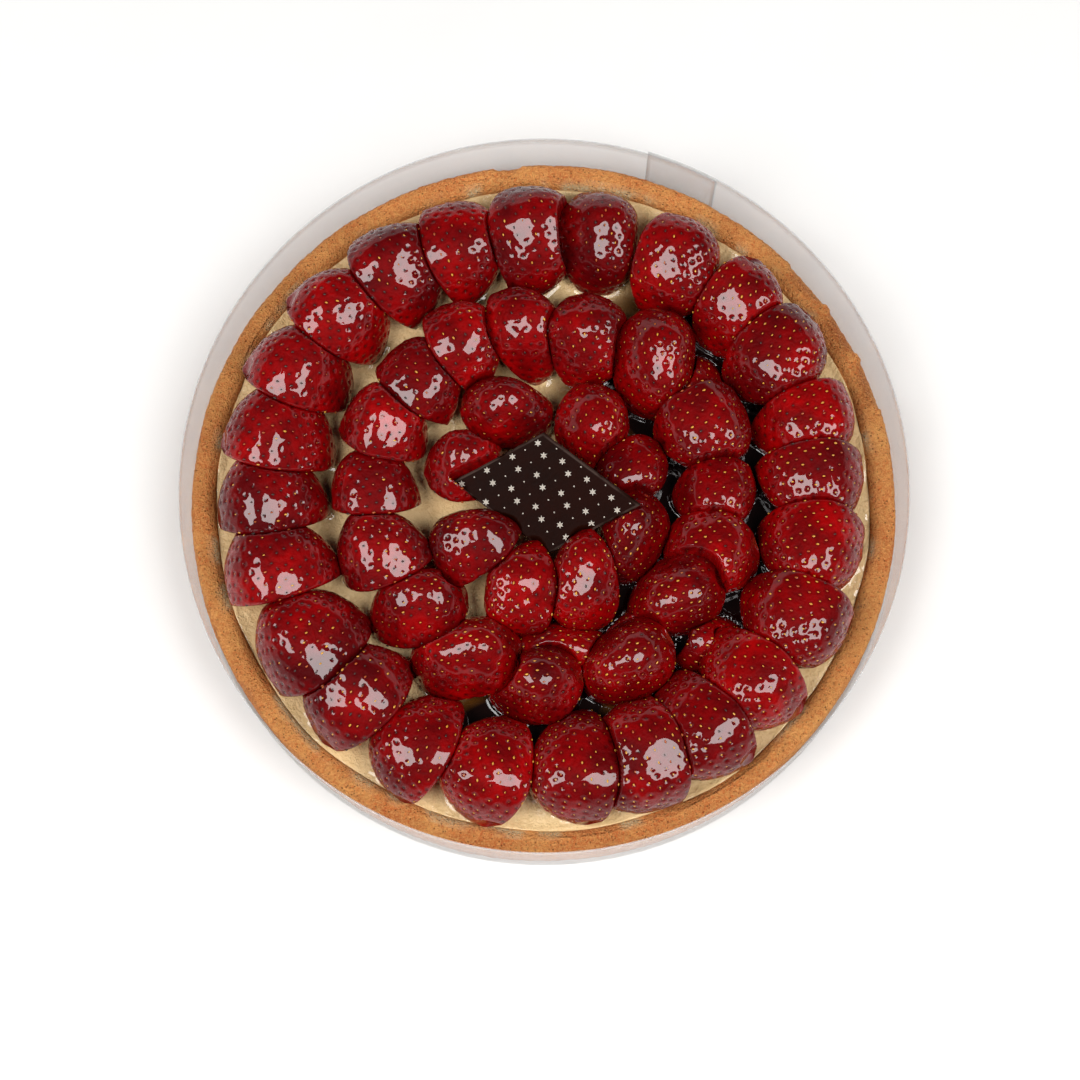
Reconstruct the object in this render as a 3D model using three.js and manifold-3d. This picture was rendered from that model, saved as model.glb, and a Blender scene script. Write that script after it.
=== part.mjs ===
// Round strawberry tart: a straight-sided shortcrust shell filled with pastry cream,
// three rings of halved strawberries, each leaning steeply on the one before it, a
// chocolate plaque resting on the innermost ring, and a clear film collar round the crust.
// Millimetres, +Z up, standing on z = 0.

import * as THREE from 'three';
import { mergeVertices } from 'three/addons/utils/BufferGeometryUtils.js';
import Module from 'manifold-3d';

const wasm = await Module();
wasm.setup();

// ---- driving dimensions -------------------------------------------------------------

const GAP = 0.3;                   // clearance between pieces that touch

const CRUST_RADIUS = 119;          // a 24 cm tart ring, less the shrinkage in baking
const CRUST_HEIGHT = 28;
const CRUST_WALL = 8.6;            // mean thickness; it runs thicker and thinner round the rim
const CRUST_FLOOR = 6;
const CRUST_SEGMENTS = 90;
const FOOT_BEVEL = 1.3;            // worn lower edge
const RIM_BEVEL = 1.2;             // worn upper edge
const RIM_SLOPE = 2.2;             // slope from the rim down to the filling
const WALL_WAVER = 1.3;            // how far the inner wall wanders in and out
const RIM_WAVER = 0.5;             // how far the rim rises and dips
const EDGE_WAVER = 0.25;           // how unevenly the upper edge is worn

const CREAM_LEVEL = 24;
const CREAM_SEGMENTS = 48;
const CREAM_EDGE = 9;              // width of the uneven band next to the wall
const CREAM_DIP = 0.5;             // how far that band dips

const COLLAR_HEIGHT = 50;
const COLLAR_FILM = 0.4;
const COLLAR_END_BEARING = 73;     // where the outer lap ends
const COLLAR_LAP = 12;             // degrees that the strip laps over itself
const COLLAR_STEP = 6;             // degrees between the strip's corners

const PLAQUE_SIDES = [35, 40.3];
const PLAQUE_THICKNESS = 3.6;
const PLAQUE_CENTRE = [0.6, -0.8, 42.4];
const PLAQUE_TILT = 20;            // lean of its face
const PLAQUE_TILT_BEARING = 245;   // the side it leans towards
const PLAQUE_EDGE_ANGLES = [142.3, 77.7];

// Chips out of the rim's outer edge: bearing, half width in degrees, depth.
const RIM_CHIPS = [[40, 4.4, 1.9], [30, 4.2, 2.2], [20, 4.4, 2.0], [96, 2.4, 1.2], [214, 3, 1.3]];

// Each ring goes round clockwise from the left, every berry lapping over the one before. A row is
// one halved berry: bearing, distance out, turn from pointing inward, length, width, and the angle
// at which it leans. `press` is how deep its low side sits, `nose` how far its tip is raised; below
// zero the tip dips.
const OUTER_RING = {
  name: 'outer', press: 9, nose: -6, seed: 102, berries: [
    [199.5, 90.5, -5, 39, 34, 63], [184.5, 90, 5, 38, 32, 61], [171, 90, 14, 39, 33, 61],
    [156, 91, 24, 39, 33, 63], [141.5, 91.5, 26, 38, 33, 59], [126, 91.5, -3, 36, 34, 59],
    [111.5, 90, 2, 36, 32, 62], [95, 89.5, 11, 39, 33, 52], [79, 91.5, 16, 37, 30, 34],
    [63.5, 90.5, 18, 38, 32, 50], [48, 91.5, 24, 37, 31, 58], [34.5, 91, 16, 38, 33, 57],
    [19.5, 90.5, 2, 36, 31, 64], [7.5, 89.5, -6, 36, 32, 66], [-7.5, 90, 0, 36, 34, 56],
    [-22.5, 91.5, -1, 38, 35, 64], [-39, 91.5, 6, 39, 33.5, 62], [-52.5, 91.5, 14, 40, 33.5, 70],
    [-66.5, 92, -12, 39, 36, 60], [-80, 91, -8, 38, 33, 58], [-98.5, 92.5, 1, 37, 33, 50],
    [-113, 92.5, -2, 38, 31, 60], [-129.5, 90, -2, 39, 34.5, 51], [-143.5, 90, -6, 39, 36, 51],
  ],
};
const MIDDLE_RING = {
  name: 'middle', press: 6, nose: -4, seed: 103, berries: [
    [182, 56, 2, 30, 27, 60], [160.5, 57.5, 20, 30, 30, 56], [140.5, 56.5, 0, 31, 28, 58],
    [121.5, 58.5, 7, 32, 28, 58], [99.5, 56.5, 18, 35, 27, 44], [77, 56, 27, 33, 29, 44],
    [52, 59.5, 36, 39, 30, 30], [27, 58, 4, 32, 32, 50], [5, 56.5, 12, 29, 27, 56],
    [-16.5, 58.5, 27, 32, 30, 46], [-36.5, 54.5, 56, 36, 26, 30], [-63, 62.5, 92, 36, 27, 30],
    [-91.5, 64, 100, 34, 26, 30], [-115.5, 60, 118, 39, 29, 26], [-136.5, 57, 145, 35, 27, 34],
    [-155.5, 56, -22, 32, 30, 52],
  ],
};
const INNER_RING = {
  name: 'inner', press: 3, nose: -2, seed: 104, berries: [
    [114, 30.5, 53, 34, 25, 26], [59, 29, 34, 30, 26, 34], [23, 30.5, -7, 26, 23, 42],
    [-24, 31.5, 90, 33, 24, 24], [-60, 31.5, -45, 35, 25, 42], [-96.5, 30.5, -17, 32, 26, 42],
    [-138.5, 27.5, -32, 32, 26, 44], [164.5, 27, 30, 28, 27, 40],
  ],
};
// Berries tucked underneath where the rings stand apart.
const UNDER_RING = {
  name: 'under', press: 3.5, nose: 0, seed: 101, berries: [
    [33, 63, 70, 33, 24, 0], [-56, 57, 92, 36, 24, 0], [-84, 51, 80, 37, 22, 0],
    [-43, 72, 40, 32, 24, 0],
  ],
};
const RING_ORDER = [UNDER_RING, OUTER_RING, MIDDLE_RING, INNER_RING];

// Inner berries whose tips are lifted over the plaque's low corner, and by how many degrees.
const TIPS_OVER_PLAQUE = { 5: 6, 6: 15, 7: 9 };

const BERRY_RINGS = 6;             // bands from shoulder to tip
const BERRY_SIDES = 12;            // corners round a whole berry
const BERRY_WIDEST = 0.42;         // share of the length from the shoulder
const BERRY_HEIGHT = 0.72;         // height of a half, as a share of its width
const EDGE_SHARPNESS = 1.35;       // above 1 the skin meets the cut face at an acute angle
const SHOULDER_BLUNTNESS = 0.96;   // 1 would close the shoulder to a point
const SHOULDER_POWER = 2.4;
const TIP_POWERS = [2.2, 0.6];
const HULL_DIMPLE = 1.2;           // the hollow left by the hull
const CUT_TALLER = 3;              // how much taller than a berry the cut it makes in the one below is
const NEIGHBOUR_REACH = 45;        // berries further apart than this never touch

// How unlike one another the berries are.
const BERRY_BEND = 5;              // spread of the tip's sideways bend
const ROUND_LOBES = 0.035;         // swell and hollow round the berry, as a share of its width
const LENGTH_LOBES = 0.03;         // and along it
const LEAN_SPREAD = 5;
const NOD_SPREAD = 5;

const TINY = 1e-3;
const FULL_TURN = Math.PI * 2;

// ---- small tools ----------------------------------------------------------------------

const radians = THREE.MathUtils.degToRad;

function seededRandom(seed) {
  let state = seed;
  return () => {
    state = (state + 0x6d2b79f5) | 0;
    let t = Math.imul(state ^ (state >>> 15), 1 | state);
    t = (t + Math.imul(t ^ (t >>> 7), 61 | t)) ^ t;
    return ((t ^ (t >>> 14)) >>> 0) / 4294967296;
  };
}

// A closed, repeating waver of about -1 to 1 round the tart.
function waver(seed, waves) {
  const random = seededRandom(seed);
  const terms = waves.map((count) => ({ count, phase: random() * FULL_TURN, size: 0.5 + random() * 0.5 }));
  const total = terms.reduce((sum, term) => sum + term.size, 0);
  return (angle) => terms.reduce(
    (sum, { count, phase, size }) => sum + size * Math.sin(count * angle + phase), 0) / total;
}

// Only positions, with the vertices that faces share merged.
function welded(geometry) {
  geometry.deleteAttribute('normal');
  geometry.deleteAttribute('uv');
  return mergeVertices(geometry, TINY / 10);
}

function toSolid(geometry) {
  const { attributes, index } = welded(geometry);
  return new wasm.Manifold(new wasm.Mesh({
    numProp: 3,
    vertProperties: new Float32Array(attributes.position.array),
    triVerts: new Uint32Array(index.array),
  }));
}

// The vertex indices of each separate body in a list of triangles.
function separateBodies(triangles, vertexCount) {
  const leader = Array.from({ length: vertexCount }, (_, i) => i);
  const leaderOf = (vertex) => {
    let at = vertex;
    while (leader[at] !== at) at = leader[at];
    leader[vertex] = at;
    return at;
  };
  for (let i = 0; i < triangles.length; i += 3) {
    leader[leaderOf(triangles[i + 1])] = leaderOf(triangles[i]);
    leader[leaderOf(triangles[i + 2])] = leaderOf(triangles[i]);
  }
  const bodies = new Map();
  for (let i = 0; i < triangles.length; i += 3) {
    const body = leaderOf(triangles[i]);
    if (!bodies.has(body)) bodies.set(body, []);
    bodies.get(body).push(...triangles.slice(i, i + 3));
  }
  return [...bodies.values()];
}

// A solid's faces as a geometry, without the small scraps that a cut can leave beside the piece.
function toGeometry(solid) {
  const { vertProperties, triVerts } = solid.getMesh();
  const bodies = separateBodies(triVerts, vertProperties.length / 3).map((body) => {
    const geometry = new THREE.BufferGeometry();
    geometry.setAttribute('position', new THREE.BufferAttribute(new Float32Array(vertProperties), 3));
    geometry.setIndex(body);
    return geometry.toNonIndexed();
  });
  const spread = (geometry) => {
    geometry.computeBoundingBox();
    return geometry.boundingBox.getSize(new THREE.Vector3()).length();
  };
  return bodies.sort((a, b) => spread(b) - spread(a))[0];
}

function moveVertices(geometry, move) {
  const { position } = geometry.attributes;
  const point = new THREE.Vector3();
  for (let i = 0; i < position.count; i += 1) {
    point.fromBufferAttribute(position, i);
    move(point);
    position.setXYZ(i, point.x, point.y, point.z);
  }
  return geometry;
}

// A profile of [radius, height] pairs turned about +Z, its radii and heights varying with the bearing.
function turned(profile, segments, vary) {
  const points = profile.map(([radius, height]) => new THREE.Vector2(radius, height));
  const geometry = welded(new THREE.LatheGeometry(points, segments));
  geometry.rotateX(Math.PI / 2);
  return moveVertices(geometry, (point) => {
    const radius = Math.hypot(point.x, point.y);
    if (radius < TINY) return;
    const angle = Math.atan2(point.y, point.x);
    const moved = vary(radius, point.z, angle);
    point.set(moved.radius * Math.cos(angle), moved.radius * Math.sin(angle), moved.height);
  });
}

function piece(name, geometry, material) {
  const flat = geometry.index ? geometry.toNonIndexed() : geometry;
  flat.computeVertexNormals();
  const mesh = new THREE.Mesh(flat, material);
  mesh.name = name;
  return mesh;
}

// ---- materials --------------------------------------------------------------------------

const materials = {
  crust: new THREE.MeshStandardMaterial({ color: 0xcf9a5e, roughness: 0.85, metalness: 0 }),
  cream: new THREE.MeshStandardMaterial({ color: 0xe6d3a3, roughness: 0.4, metalness: 0 }),
  berry: new THREE.MeshStandardMaterial({ color: 0xa50a12, roughness: 0.15, metalness: 0 }),
  chocolate: new THREE.MeshStandardMaterial({ color: 0x1c0b07, roughness: 0.35, metalness: 0 }),
  film: new THREE.MeshStandardMaterial({
    color: 0xe9eef0, roughness: 0.05, metalness: 0, transparent: true, opacity: 0.25,
  }),
};

// ---- crust and cream ----------------------------------------------------------------------

const WALL_LINE = CRUST_RADIUS - CRUST_WALL;
const wallWaver = waver(11, [1, 2, 3, 5, 9, 14]);
const rimWaver = waver(12, [2, 3, 7, 11, 19]);
const edgeWaver = waver(13, [5, 8, 13, 21]);
const creamWaver = waver(14, [3, 5, 8, 12]);

const innerRadius = (angle) => WALL_LINE + WALL_WAVER * wallWaver(angle);
const rimRise = (angle) => RIM_WAVER * (rimWaver(angle) - 1);

function chipDepth(angle) {
  return RIM_CHIPS.reduce((depth, [bearing, halfWidth, size]) => {
    const ahead = THREE.MathUtils.radToDeg(angle) - bearing;
    const turnedBy = THREE.MathUtils.euclideanModulo(ahead + 180, 360) - 180;
    const across = Math.min(1, Math.abs(turnedBy) / halfWidth);
    return depth + size * Math.sqrt(1 - across ** 2);
  }, 0);
}

// The shell's section: sole, outer wall with a worn foot, rounded rim, inner wall, floor.
function crustGeometry(clearance = 0) {
  const inner = WALL_LINE - clearance;
  const profile = [
    [0, 0], [CRUST_RADIUS - FOOT_BEVEL, 0], [CRUST_RADIUS, FOOT_BEVEL], [CRUST_RADIUS, CRUST_HEIGHT - 7],
    [CRUST_RADIUS, CRUST_HEIGHT - RIM_BEVEL], [CRUST_RADIUS - RIM_BEVEL, CRUST_HEIGHT],
    [inner + RIM_SLOPE, CRUST_HEIGHT], [inner, CRUST_HEIGHT - RIM_SLOPE], [inner, CRUST_FLOOR],
    [0, CRUST_FLOOR],
  ];
  return turned(profile, CRUST_SEGMENTS, (radius, height, angle) => {
    const onWall = radius > inner - TINY && radius < inner + RIM_SLOPE + TINY && height > CRUST_FLOOR - TINY;
    const onEdge = radius > CRUST_RADIUS - RIM_BEVEL - TINY && height > CRUST_HEIGHT - RIM_BEVEL - TINY;
    const topShare = THREE.MathUtils.smoothstep(height, CRUST_HEIGHT - 8, CRUST_HEIGHT - 1);
    let moved = radius;
    if (onWall) moved += innerRadius(angle) - WALL_LINE;
    if (onEdge) moved -= chipDepth(angle) + EDGE_WAVER * (1 + edgeWaver(angle));
    return { radius: moved, height: height + topShare * (rimRise(angle) + clearance) };
  });
}

function creamGeometry() {
  const band = [CREAM_EDGE / 3, CREAM_EDGE];
  const profile = [
    [0, CRUST_FLOOR + GAP], [WALL_LINE, CRUST_FLOOR + GAP], [WALL_LINE, CREAM_LEVEL],
    [WALL_LINE - band[0], CREAM_LEVEL], [WALL_LINE - band[1], CREAM_LEVEL], [0, CREAM_LEVEL],
  ];
  return turned(profile, CREAM_SEGMENTS, (radius, height, angle) => {
    if (radius > WALL_LINE - TINY) return { radius: innerRadius(angle) - 2 * GAP, height };
    const inBand = radius > WALL_LINE - band[0] - TINY && height > CREAM_LEVEL - TINY;
    return { radius, height: height - (inBand ? CREAM_DIP * (1 + creamWaver(angle)) : 0) };
  });
}

// ---- collar ----------------------------------------------------------------------------------

// One strip of film wound round the crust, its outer end lapping over its inner end.
function collarGeometry() {
  const turn = 360 + COLLAR_LAP;
  const steps = Math.round(turn / COLLAR_STEP);
  const corner = (share, offset) => {
    const angle = radians(COLLAR_END_BEARING - COLLAR_LAP + share * turn);
    const radius = CRUST_RADIUS + GAP + share * (COLLAR_FILM + GAP) * turn / 360 + offset;
    return new THREE.Vector2(radius * Math.cos(angle), radius * Math.sin(angle));
  };
  const outline = [];
  for (let i = 0; i <= steps; i += 1) outline.push(corner(i / steps, COLLAR_FILM));
  for (let i = steps; i >= 0; i -= 1) outline.push(corner(i / steps, 0));
  return new THREE.ExtrudeGeometry(new THREE.Shape(outline), { depth: COLLAR_HEIGHT, bevelEnabled: false });
}

// ---- strawberries ------------------------------------------------------------------------------

// Share of the full width at a share of the length: blunt hulled shoulder, rounded conical tip.
function berryOutline(share) {
  if (share < BERRY_WIDEST) {
    const back = SHOULDER_BLUNTNESS * (BERRY_WIDEST - share) / BERRY_WIDEST;
    return Math.sqrt(1 - back ** SHOULDER_POWER);
  }
  const forward = (share - BERRY_WIDEST) / (1 - BERRY_WIDEST);
  return (1 - forward ** TIP_POWERS[0]) ** TIP_POWERS[1];
}

// A whole berry lying along +X with its tip forward; `grow` swells it on every side.
function berryGeometry({ length, width, bend, lobes }, grow = 0) {
  const points = [new THREE.Vector2(0, HULL_DIMPLE - length / 2 - grow)];
  for (let i = 0; i < BERRY_RINGS; i += 1) {
    const share = 0.5 * (1 - Math.cos(Math.PI * i / BERRY_RINGS));
    points.push(new THREE.Vector2(berryOutline(share), (share - 0.5) * length - (i === 0 ? grow : 0)));
  }
  points.push(new THREE.Vector2(0, length / 2 + grow));
  const geometry = welded(new THREE.LatheGeometry(points, BERRY_SIDES, Math.PI / 2));
  geometry.rotateZ(-Math.PI / 2);
  return moveVertices(geometry, (point) => {
    const share = point.x / length + 0.5;
    const round = Math.atan2(point.z, point.y);
    const outline = Math.hypot(point.y, point.z);
    const onAxis = outline < TINY;
    const swell = 1 + ROUND_LOBES * Math.sin(2 * round + lobes[0])
      + LENGTH_LOBES * Math.sin(3 * share * Math.PI + lobes[1]);
    const rise = Math.sign(round) * outline * Math.abs(Math.sin(round)) ** EDGE_SHARPNESS;
    const across = onAxis ? 0 : width / 2 * swell * point.y + grow * Math.cos(round);
    const up = onAxis ? 0 : width * BERRY_HEIGHT * swell * rise + grow * Math.sin(round);
    point.set(point.x, across + bend * share * share, up);
  });
}

// A block much larger than the tart, with its top at a level.
function blockUpTo(level) {
  const side = CRUST_RADIUS * 4;
  return toSolid(new THREE.BoxGeometry(side, side, side).translate(0, 0, level - side / 2));
}

// How a halved berry lies: pointing inward with its turn, its tip raised, leaning on the berry before it.
function berryPlacement({ bearing, distance, turn, length, width, lean }, { press, nose }, nod) {
  const reach = Math.hypot(width / 2 * Math.cos(radians(turn)), length / 2 * Math.sin(radians(turn)));
  const level = CREAM_LEVEL + GAP + reach * Math.sin(radians(lean)) - press;
  const place = new THREE.Matrix4().makeTranslation(
    distance * Math.cos(radians(bearing)), distance * Math.sin(radians(bearing)), level);
  place.multiply(new THREE.Matrix4().makeRotationZ(radians(bearing + 180)));
  place.multiply(new THREE.Matrix4().makeRotationY(-radians(nose)));
  place.multiply(new THREE.Matrix4().makeRotationX(-radians(lean)));
  place.multiply(new THREE.Matrix4().makeRotationZ(radians(turn)));
  return place.multiply(new THREE.Matrix4().makeRotationY(radians(nod)));
}

// The part of a berry above its cut face, in the berry's own frame.
function halved(form, grow = 0) {
  return toGeometry(toSolid(berryGeometry(form, grow)).subtract(blockUpTo(-grow)));
}

// The room a berry takes from the one under it: its footprint, straight up from its cut face.
function roomAbove(form, place) {
  const upright = place.clone();
  upright.elements.splice(8, 3, 0, 0, CUT_TALLER);
  return toSolid(halved(form, GAP).applyMatrix4(upright));
}

function layRing(ring) {
  const random = seededRandom(ring.seed);
  const spread = (width) => (random() - 0.5) * width;
  return ring.berries.map(([bearing, distance, turn, length, width, steepness], index) => {
    const bend = spread(BERRY_BEND);
    const lobes = [random() * FULL_TURN, random() * FULL_TURN];
    const form = { length, width, bend, lobes };
    const lift = ring === INNER_RING ? TIPS_OVER_PLAQUE[index + 1] ?? 0 : 0;
    const lean = steepness + spread(LEAN_SPREAD);
    const nod = spread(NOD_SPREAD) - lift;
    const place = berryPlacement({ bearing, distance, turn, length, width, lean }, ring, nod);
    return {
      name: `berry_${ring.name}_${String(index + 1).padStart(2, '0')}`,
      ring, index, place,
      overPlaque: lift > 0,
      centre: new THREE.Vector3().setFromMatrixPosition(place),
      solid: toSolid(halved(form).applyMatrix4(place)),
      roomAbove: roomAbove(form, place),
      roomAround: toSolid(halved(form, GAP).applyMatrix4(place)),
    };
  });
}

// Whether berry b lies over berry a: further in, or one or two places clockwise in the same ring.
function liesOver(b, a) {
  if (a.ring !== b.ring) return RING_ORDER.indexOf(b.ring) > RING_ORDER.indexOf(a.ring);
  const ahead = THREE.MathUtils.euclideanModulo(b.index - a.index, a.ring.berries.length);
  return ahead === 1 || ahead === 2;
}

function trimBerries(berries, crustRoom, plaqueRoom) {
  const creamRoom = blockUpTo(CREAM_LEVEL + GAP);
  return berries.map((berry) => {
    let solid = berry.solid.subtract(creamRoom);
    for (const other of berries) {
      const near = other !== berry && other.centre.distanceTo(berry.centre) < NEIGHBOUR_REACH;
      if (!near || !liesOver(other, berry)) continue;
      solid = solid.subtract(other.roomAbove);
      solid = solid.subtract(other.roomAround);
    }
    if (berry.ring === OUTER_RING) solid = solid.subtract(crustRoom);
    if (!berry.overPlaque) solid = solid.subtract(plaqueRoom);
    return { ...berry, solid };
  });
}

// ---- chocolate plaque ---------------------------------------------------------------------------

// A parallelogram slab under its own top face, drawn about its centre.
function plaqueGeometry(margin = 0) {
  const [shortEdge, longEdge] = PLAQUE_SIDES.map((side, i) => new THREE.Vector2(side + 2 * margin, 0)
    .rotateAround(new THREE.Vector2(), radians(PLAQUE_EDGE_ANGLES[i])));
  const left = shortEdge.clone().add(longEdge).multiplyScalar(-0.5);
  const back = left.clone().add(shortEdge);
  const right = back.clone().add(longEdge);
  const front = right.clone().sub(shortEdge);
  const slab = new THREE.ExtrudeGeometry(new THREE.Shape([left, front, right, back]), {
    depth: PLAQUE_THICKNESS + 2 * margin, bevelEnabled: false,
  });
  return slab.translate(0, 0, -PLAQUE_THICKNESS - margin);
}

const plaquePlace = new THREE.Matrix4().makeTranslation(...PLAQUE_CENTRE)
  .multiply(new THREE.Matrix4().makeRotationZ(radians(PLAQUE_TILT_BEARING)))
  .multiply(new THREE.Matrix4().makeRotationY(radians(PLAQUE_TILT)));

// ---- the tart --------------------------------------------------------------------------------------

// The mesh keeps its geometry in its own frame and carries its place as its position and rotation.
function placedPiece(name, solid, place, material) {
  const geometry = toGeometry(solid).applyMatrix4(place.clone().invert());
  const mesh = piece(name, geometry, material);
  mesh.applyMatrix4(place);
  return mesh;
}

const tart = new THREE.Group();
tart.add(piece('crust', crustGeometry(), materials.crust));
tart.add(piece('cream', creamGeometry(), materials.cream));
tart.add(piece('collar', collarGeometry(), materials.film));

const plaqueRoom = toSolid(plaqueGeometry(GAP).applyMatrix4(plaquePlace));
const laid = trimBerries(RING_ORDER.flatMap(layRing), toSolid(crustGeometry(GAP)), plaqueRoom);

let plaqueSolid = toSolid(plaqueGeometry().applyMatrix4(plaquePlace));
const toppings = new THREE.Group();
for (const berry of laid) {
  toppings.add(placedPiece(berry.name, berry.solid, berry.place, materials.berry));
  if (berry.overPlaque) plaqueSolid = plaqueSolid.subtract(berry.roomAbove).subtract(berry.roomAround);
}
toppings.add(placedPiece('plaque', plaqueSolid, plaquePlace, materials.chocolate));
tart.add(toppings);

// The origin is the middle of the tart's footprint.
const box = new THREE.Box3().setFromObject(tart);
tart.position.set(-(box.min.x + box.max.x) / 2, -(box.min.y + box.max.y) / 2, -box.min.z);

export default tart;
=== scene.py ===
"""A round strawberry tart: sandy shortcrust, pastry cream, three rings of glazed halved
berries with their seeds, pooled glaze, a printed chocolate plaque and a clear film collar.

Lengths are millimetres until a mesh is made, and metres in the studio. +Z is up and the tart
stands on z = 0. Bearings are degrees from the right, round towards the back.
"""

import math

import bpy
import numpy as np
from mathutils import Matrix, Vector
from mathutils.kdtree import KDTree


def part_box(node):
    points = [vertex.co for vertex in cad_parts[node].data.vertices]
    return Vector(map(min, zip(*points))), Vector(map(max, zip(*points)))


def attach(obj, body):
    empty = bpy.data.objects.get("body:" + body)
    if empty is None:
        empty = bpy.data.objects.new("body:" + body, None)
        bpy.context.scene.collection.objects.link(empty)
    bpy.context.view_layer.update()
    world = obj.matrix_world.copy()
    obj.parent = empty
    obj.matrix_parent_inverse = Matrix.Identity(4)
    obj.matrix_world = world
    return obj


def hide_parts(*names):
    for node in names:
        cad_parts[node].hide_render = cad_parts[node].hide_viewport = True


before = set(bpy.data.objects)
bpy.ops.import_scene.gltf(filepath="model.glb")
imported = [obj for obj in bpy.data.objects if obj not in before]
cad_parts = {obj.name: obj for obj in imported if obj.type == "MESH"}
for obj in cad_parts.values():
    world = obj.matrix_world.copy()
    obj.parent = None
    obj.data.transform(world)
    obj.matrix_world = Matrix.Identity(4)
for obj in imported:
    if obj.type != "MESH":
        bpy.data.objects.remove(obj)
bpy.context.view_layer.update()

MM = 0.001
FULL_TURN = math.tau
TINY = 1e-6                       # keeps a division from being by nothing
TINIEST = 1e-12

# ---- sizes that the solids share ---------------------------------------------------------

GAP = 0.3
CRUST_RADIUS = 119.0
CRUST_HEIGHT = 28.0
CRUST_WALL = 8.6
CRUST_FLOOR = 6.0
FOOT_BEVEL = 1.3
RIM_BEVEL = 1.2
RIM_SLOPE = 2.2
WALL_WAVER = 1.3
RIM_WAVER = 0.5
EDGE_WAVER = 0.25
WALL_LINE = CRUST_RADIUS - CRUST_WALL
TOP_BAND = 7.0                    # how far down from the rim the outside is worn
EDGE_BAND = 6.0                   # how far in from the outside the rim is worn

CREAM_LEVEL = 24.0

COLLAR_HEIGHT = 50.0
COLLAR_FILM = 0.4
COLLAR_END_BEARING = 73.0
COLLAR_LAP = 12.0

PLAQUE_SIDES = (35.0, 40.3)
PLAQUE_THICKNESS = 3.6
PLAQUE_CENTRE = (0.6, -0.8, 42.4)
PLAQUE_TILT = 20.0
PLAQUE_TILT_BEARING = 245.0
PLAQUE_EDGE_ANGLES = (142.3, 77.7)
PLAQUE_BEVEL = 0.45

# Chips out of the rim's outer edge: bearing, half width in degrees, depth.
RIM_CHIPS = ((40, 4.4, 1.9), (30, 4.2, 2.2), (20, 4.4, 2.0), (96, 2.4, 1.2), (214, 3, 1.3))

# A row is one halved berry: bearing, distance out, turn from pointing inward, length, width, and how
# far it leans on the one before. The outer and middle rings go round clockwise from the left, the
# inner one from the back. Each berry laps over the one before, and each ring over those before it
# here. "press" is how far below the cream the low side would reach. "nose" is how many degrees the
# tips are raised; below zero they dip.
RINGS = (
    {
        "name": "under", "press": 3.5, "nose": 0, "seed": 101,
        "berries": (
            (33, 63, 70, 33, 24, 0), (-56, 57, 92, 36, 24, 0), (-84, 51, 80, 37, 22, 0),
            (-43, 72, 40, 32, 24, 0),
        ),
    },
    {
        "name": "outer", "press": 9, "nose": -6, "seed": 102,
        "berries": (
            (199.5, 90.5, -5, 39, 34, 63), (184.5, 90, 5, 38, 32, 61), (171, 90, 14, 39, 33, 61),
            (156, 91, 24, 39, 33, 63), (141.5, 91.5, 26, 38, 33, 59), (126, 91.5, -3, 36, 34, 59),
            (111.5, 90, 2, 36, 32, 62), (95, 89.5, 11, 39, 33, 52), (79, 91.5, 16, 37, 30, 34),
            (63.5, 90.5, 18, 38, 32, 50), (48, 91.5, 24, 37, 31, 58), (34.5, 91, 16, 38, 33, 57),
            (19.5, 90.5, 2, 36, 31, 64), (7.5, 89.5, -6, 36, 32, 66), (-7.5, 90, 0, 36, 34, 56),
            (-22.5, 91.5, -1, 38, 35, 64), (-39, 91.5, 6, 39, 33.5, 62), (-52.5, 91.5, 14, 40, 33.5, 70),
            (-66.5, 92, -12, 39, 36, 60), (-80, 91, -8, 38, 33, 58), (-98.5, 92.5, 1, 37, 33, 50),
            (-113, 92.5, -2, 38, 31, 60), (-129.5, 90, -2, 39, 34.5, 51), (-143.5, 90, -6, 39, 36, 51),
        ),
    },
    {
        "name": "middle", "press": 6, "nose": -4, "seed": 103,
        "berries": (
            (182, 56, 2, 30, 27, 60), (160.5, 57.5, 20, 30, 30, 56), (140.5, 56.5, 0, 31, 28, 58),
            (121.5, 58.5, 7, 32, 28, 58), (99.5, 56.5, 18, 35, 27, 44), (77, 56, 27, 33, 29, 44),
            (52, 59.5, 36, 39, 30, 30), (27, 58, 4, 32, 32, 50), (5, 56.5, 12, 29, 27, 56),
            (-16.5, 58.5, 27, 32, 30, 46), (-36.5, 54.5, 56, 36, 26, 30), (-63, 62.5, 92, 36, 27, 30),
            (-91.5, 64, 100, 34, 26, 30), (-115.5, 60, 118, 39, 29, 26), (-136.5, 57, 145, 35, 27, 34),
            (-155.5, 56, -22, 32, 30, 52),
        ),
    },
    {
        "name": "inner", "press": 3, "nose": -2, "seed": 104,
        "berries": (
            (114, 30.5, 53, 34, 25, 26), (59, 29, 34, 30, 26, 34), (23, 30.5, -7, 26, 23, 42),
            (-24, 31.5, 90, 33, 24, 24), (-60, 31.5, -45, 35, 25, 42), (-96.5, 30.5, -17, 32, 26, 42),
            (-138.5, 27.5, -32, 32, 26, 44), (164.5, 27, 30, 28, 27, 40),
        ),
    },
)

# The inner berries, by number, whose tips lie over the plaque, and how many degrees they are lifted.
TIPS_OVER_PLAQUE = {5: 6, 6: 15, 7: 9}

BERRY_WIDEST = 0.42               # where along the length
BERRY_HEIGHT = 0.72               # as a share of the width
EDGE_SHARPNESS = 1.35
SHOULDER_BLUNTNESS = 0.96         # 1 would close the hull end to a point
SHOULDER_POWER = 2.4
TIP_POWERS = (2.2, 0.6)
HULL_DIMPLE = 1.2
NEIGHBOUR_REACH = 45.0            # berries whose middles are further apart don't meet
BERRY_BEND = 5                    # spread of the tips to either side
ROUND_LOBES = 0.035               # swellings round and along a berry, as shares of its size
LENGTH_LOBES = 0.03
LEAN_SPREAD = 5                   # degrees
NOD_SPREAD = 5

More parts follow.
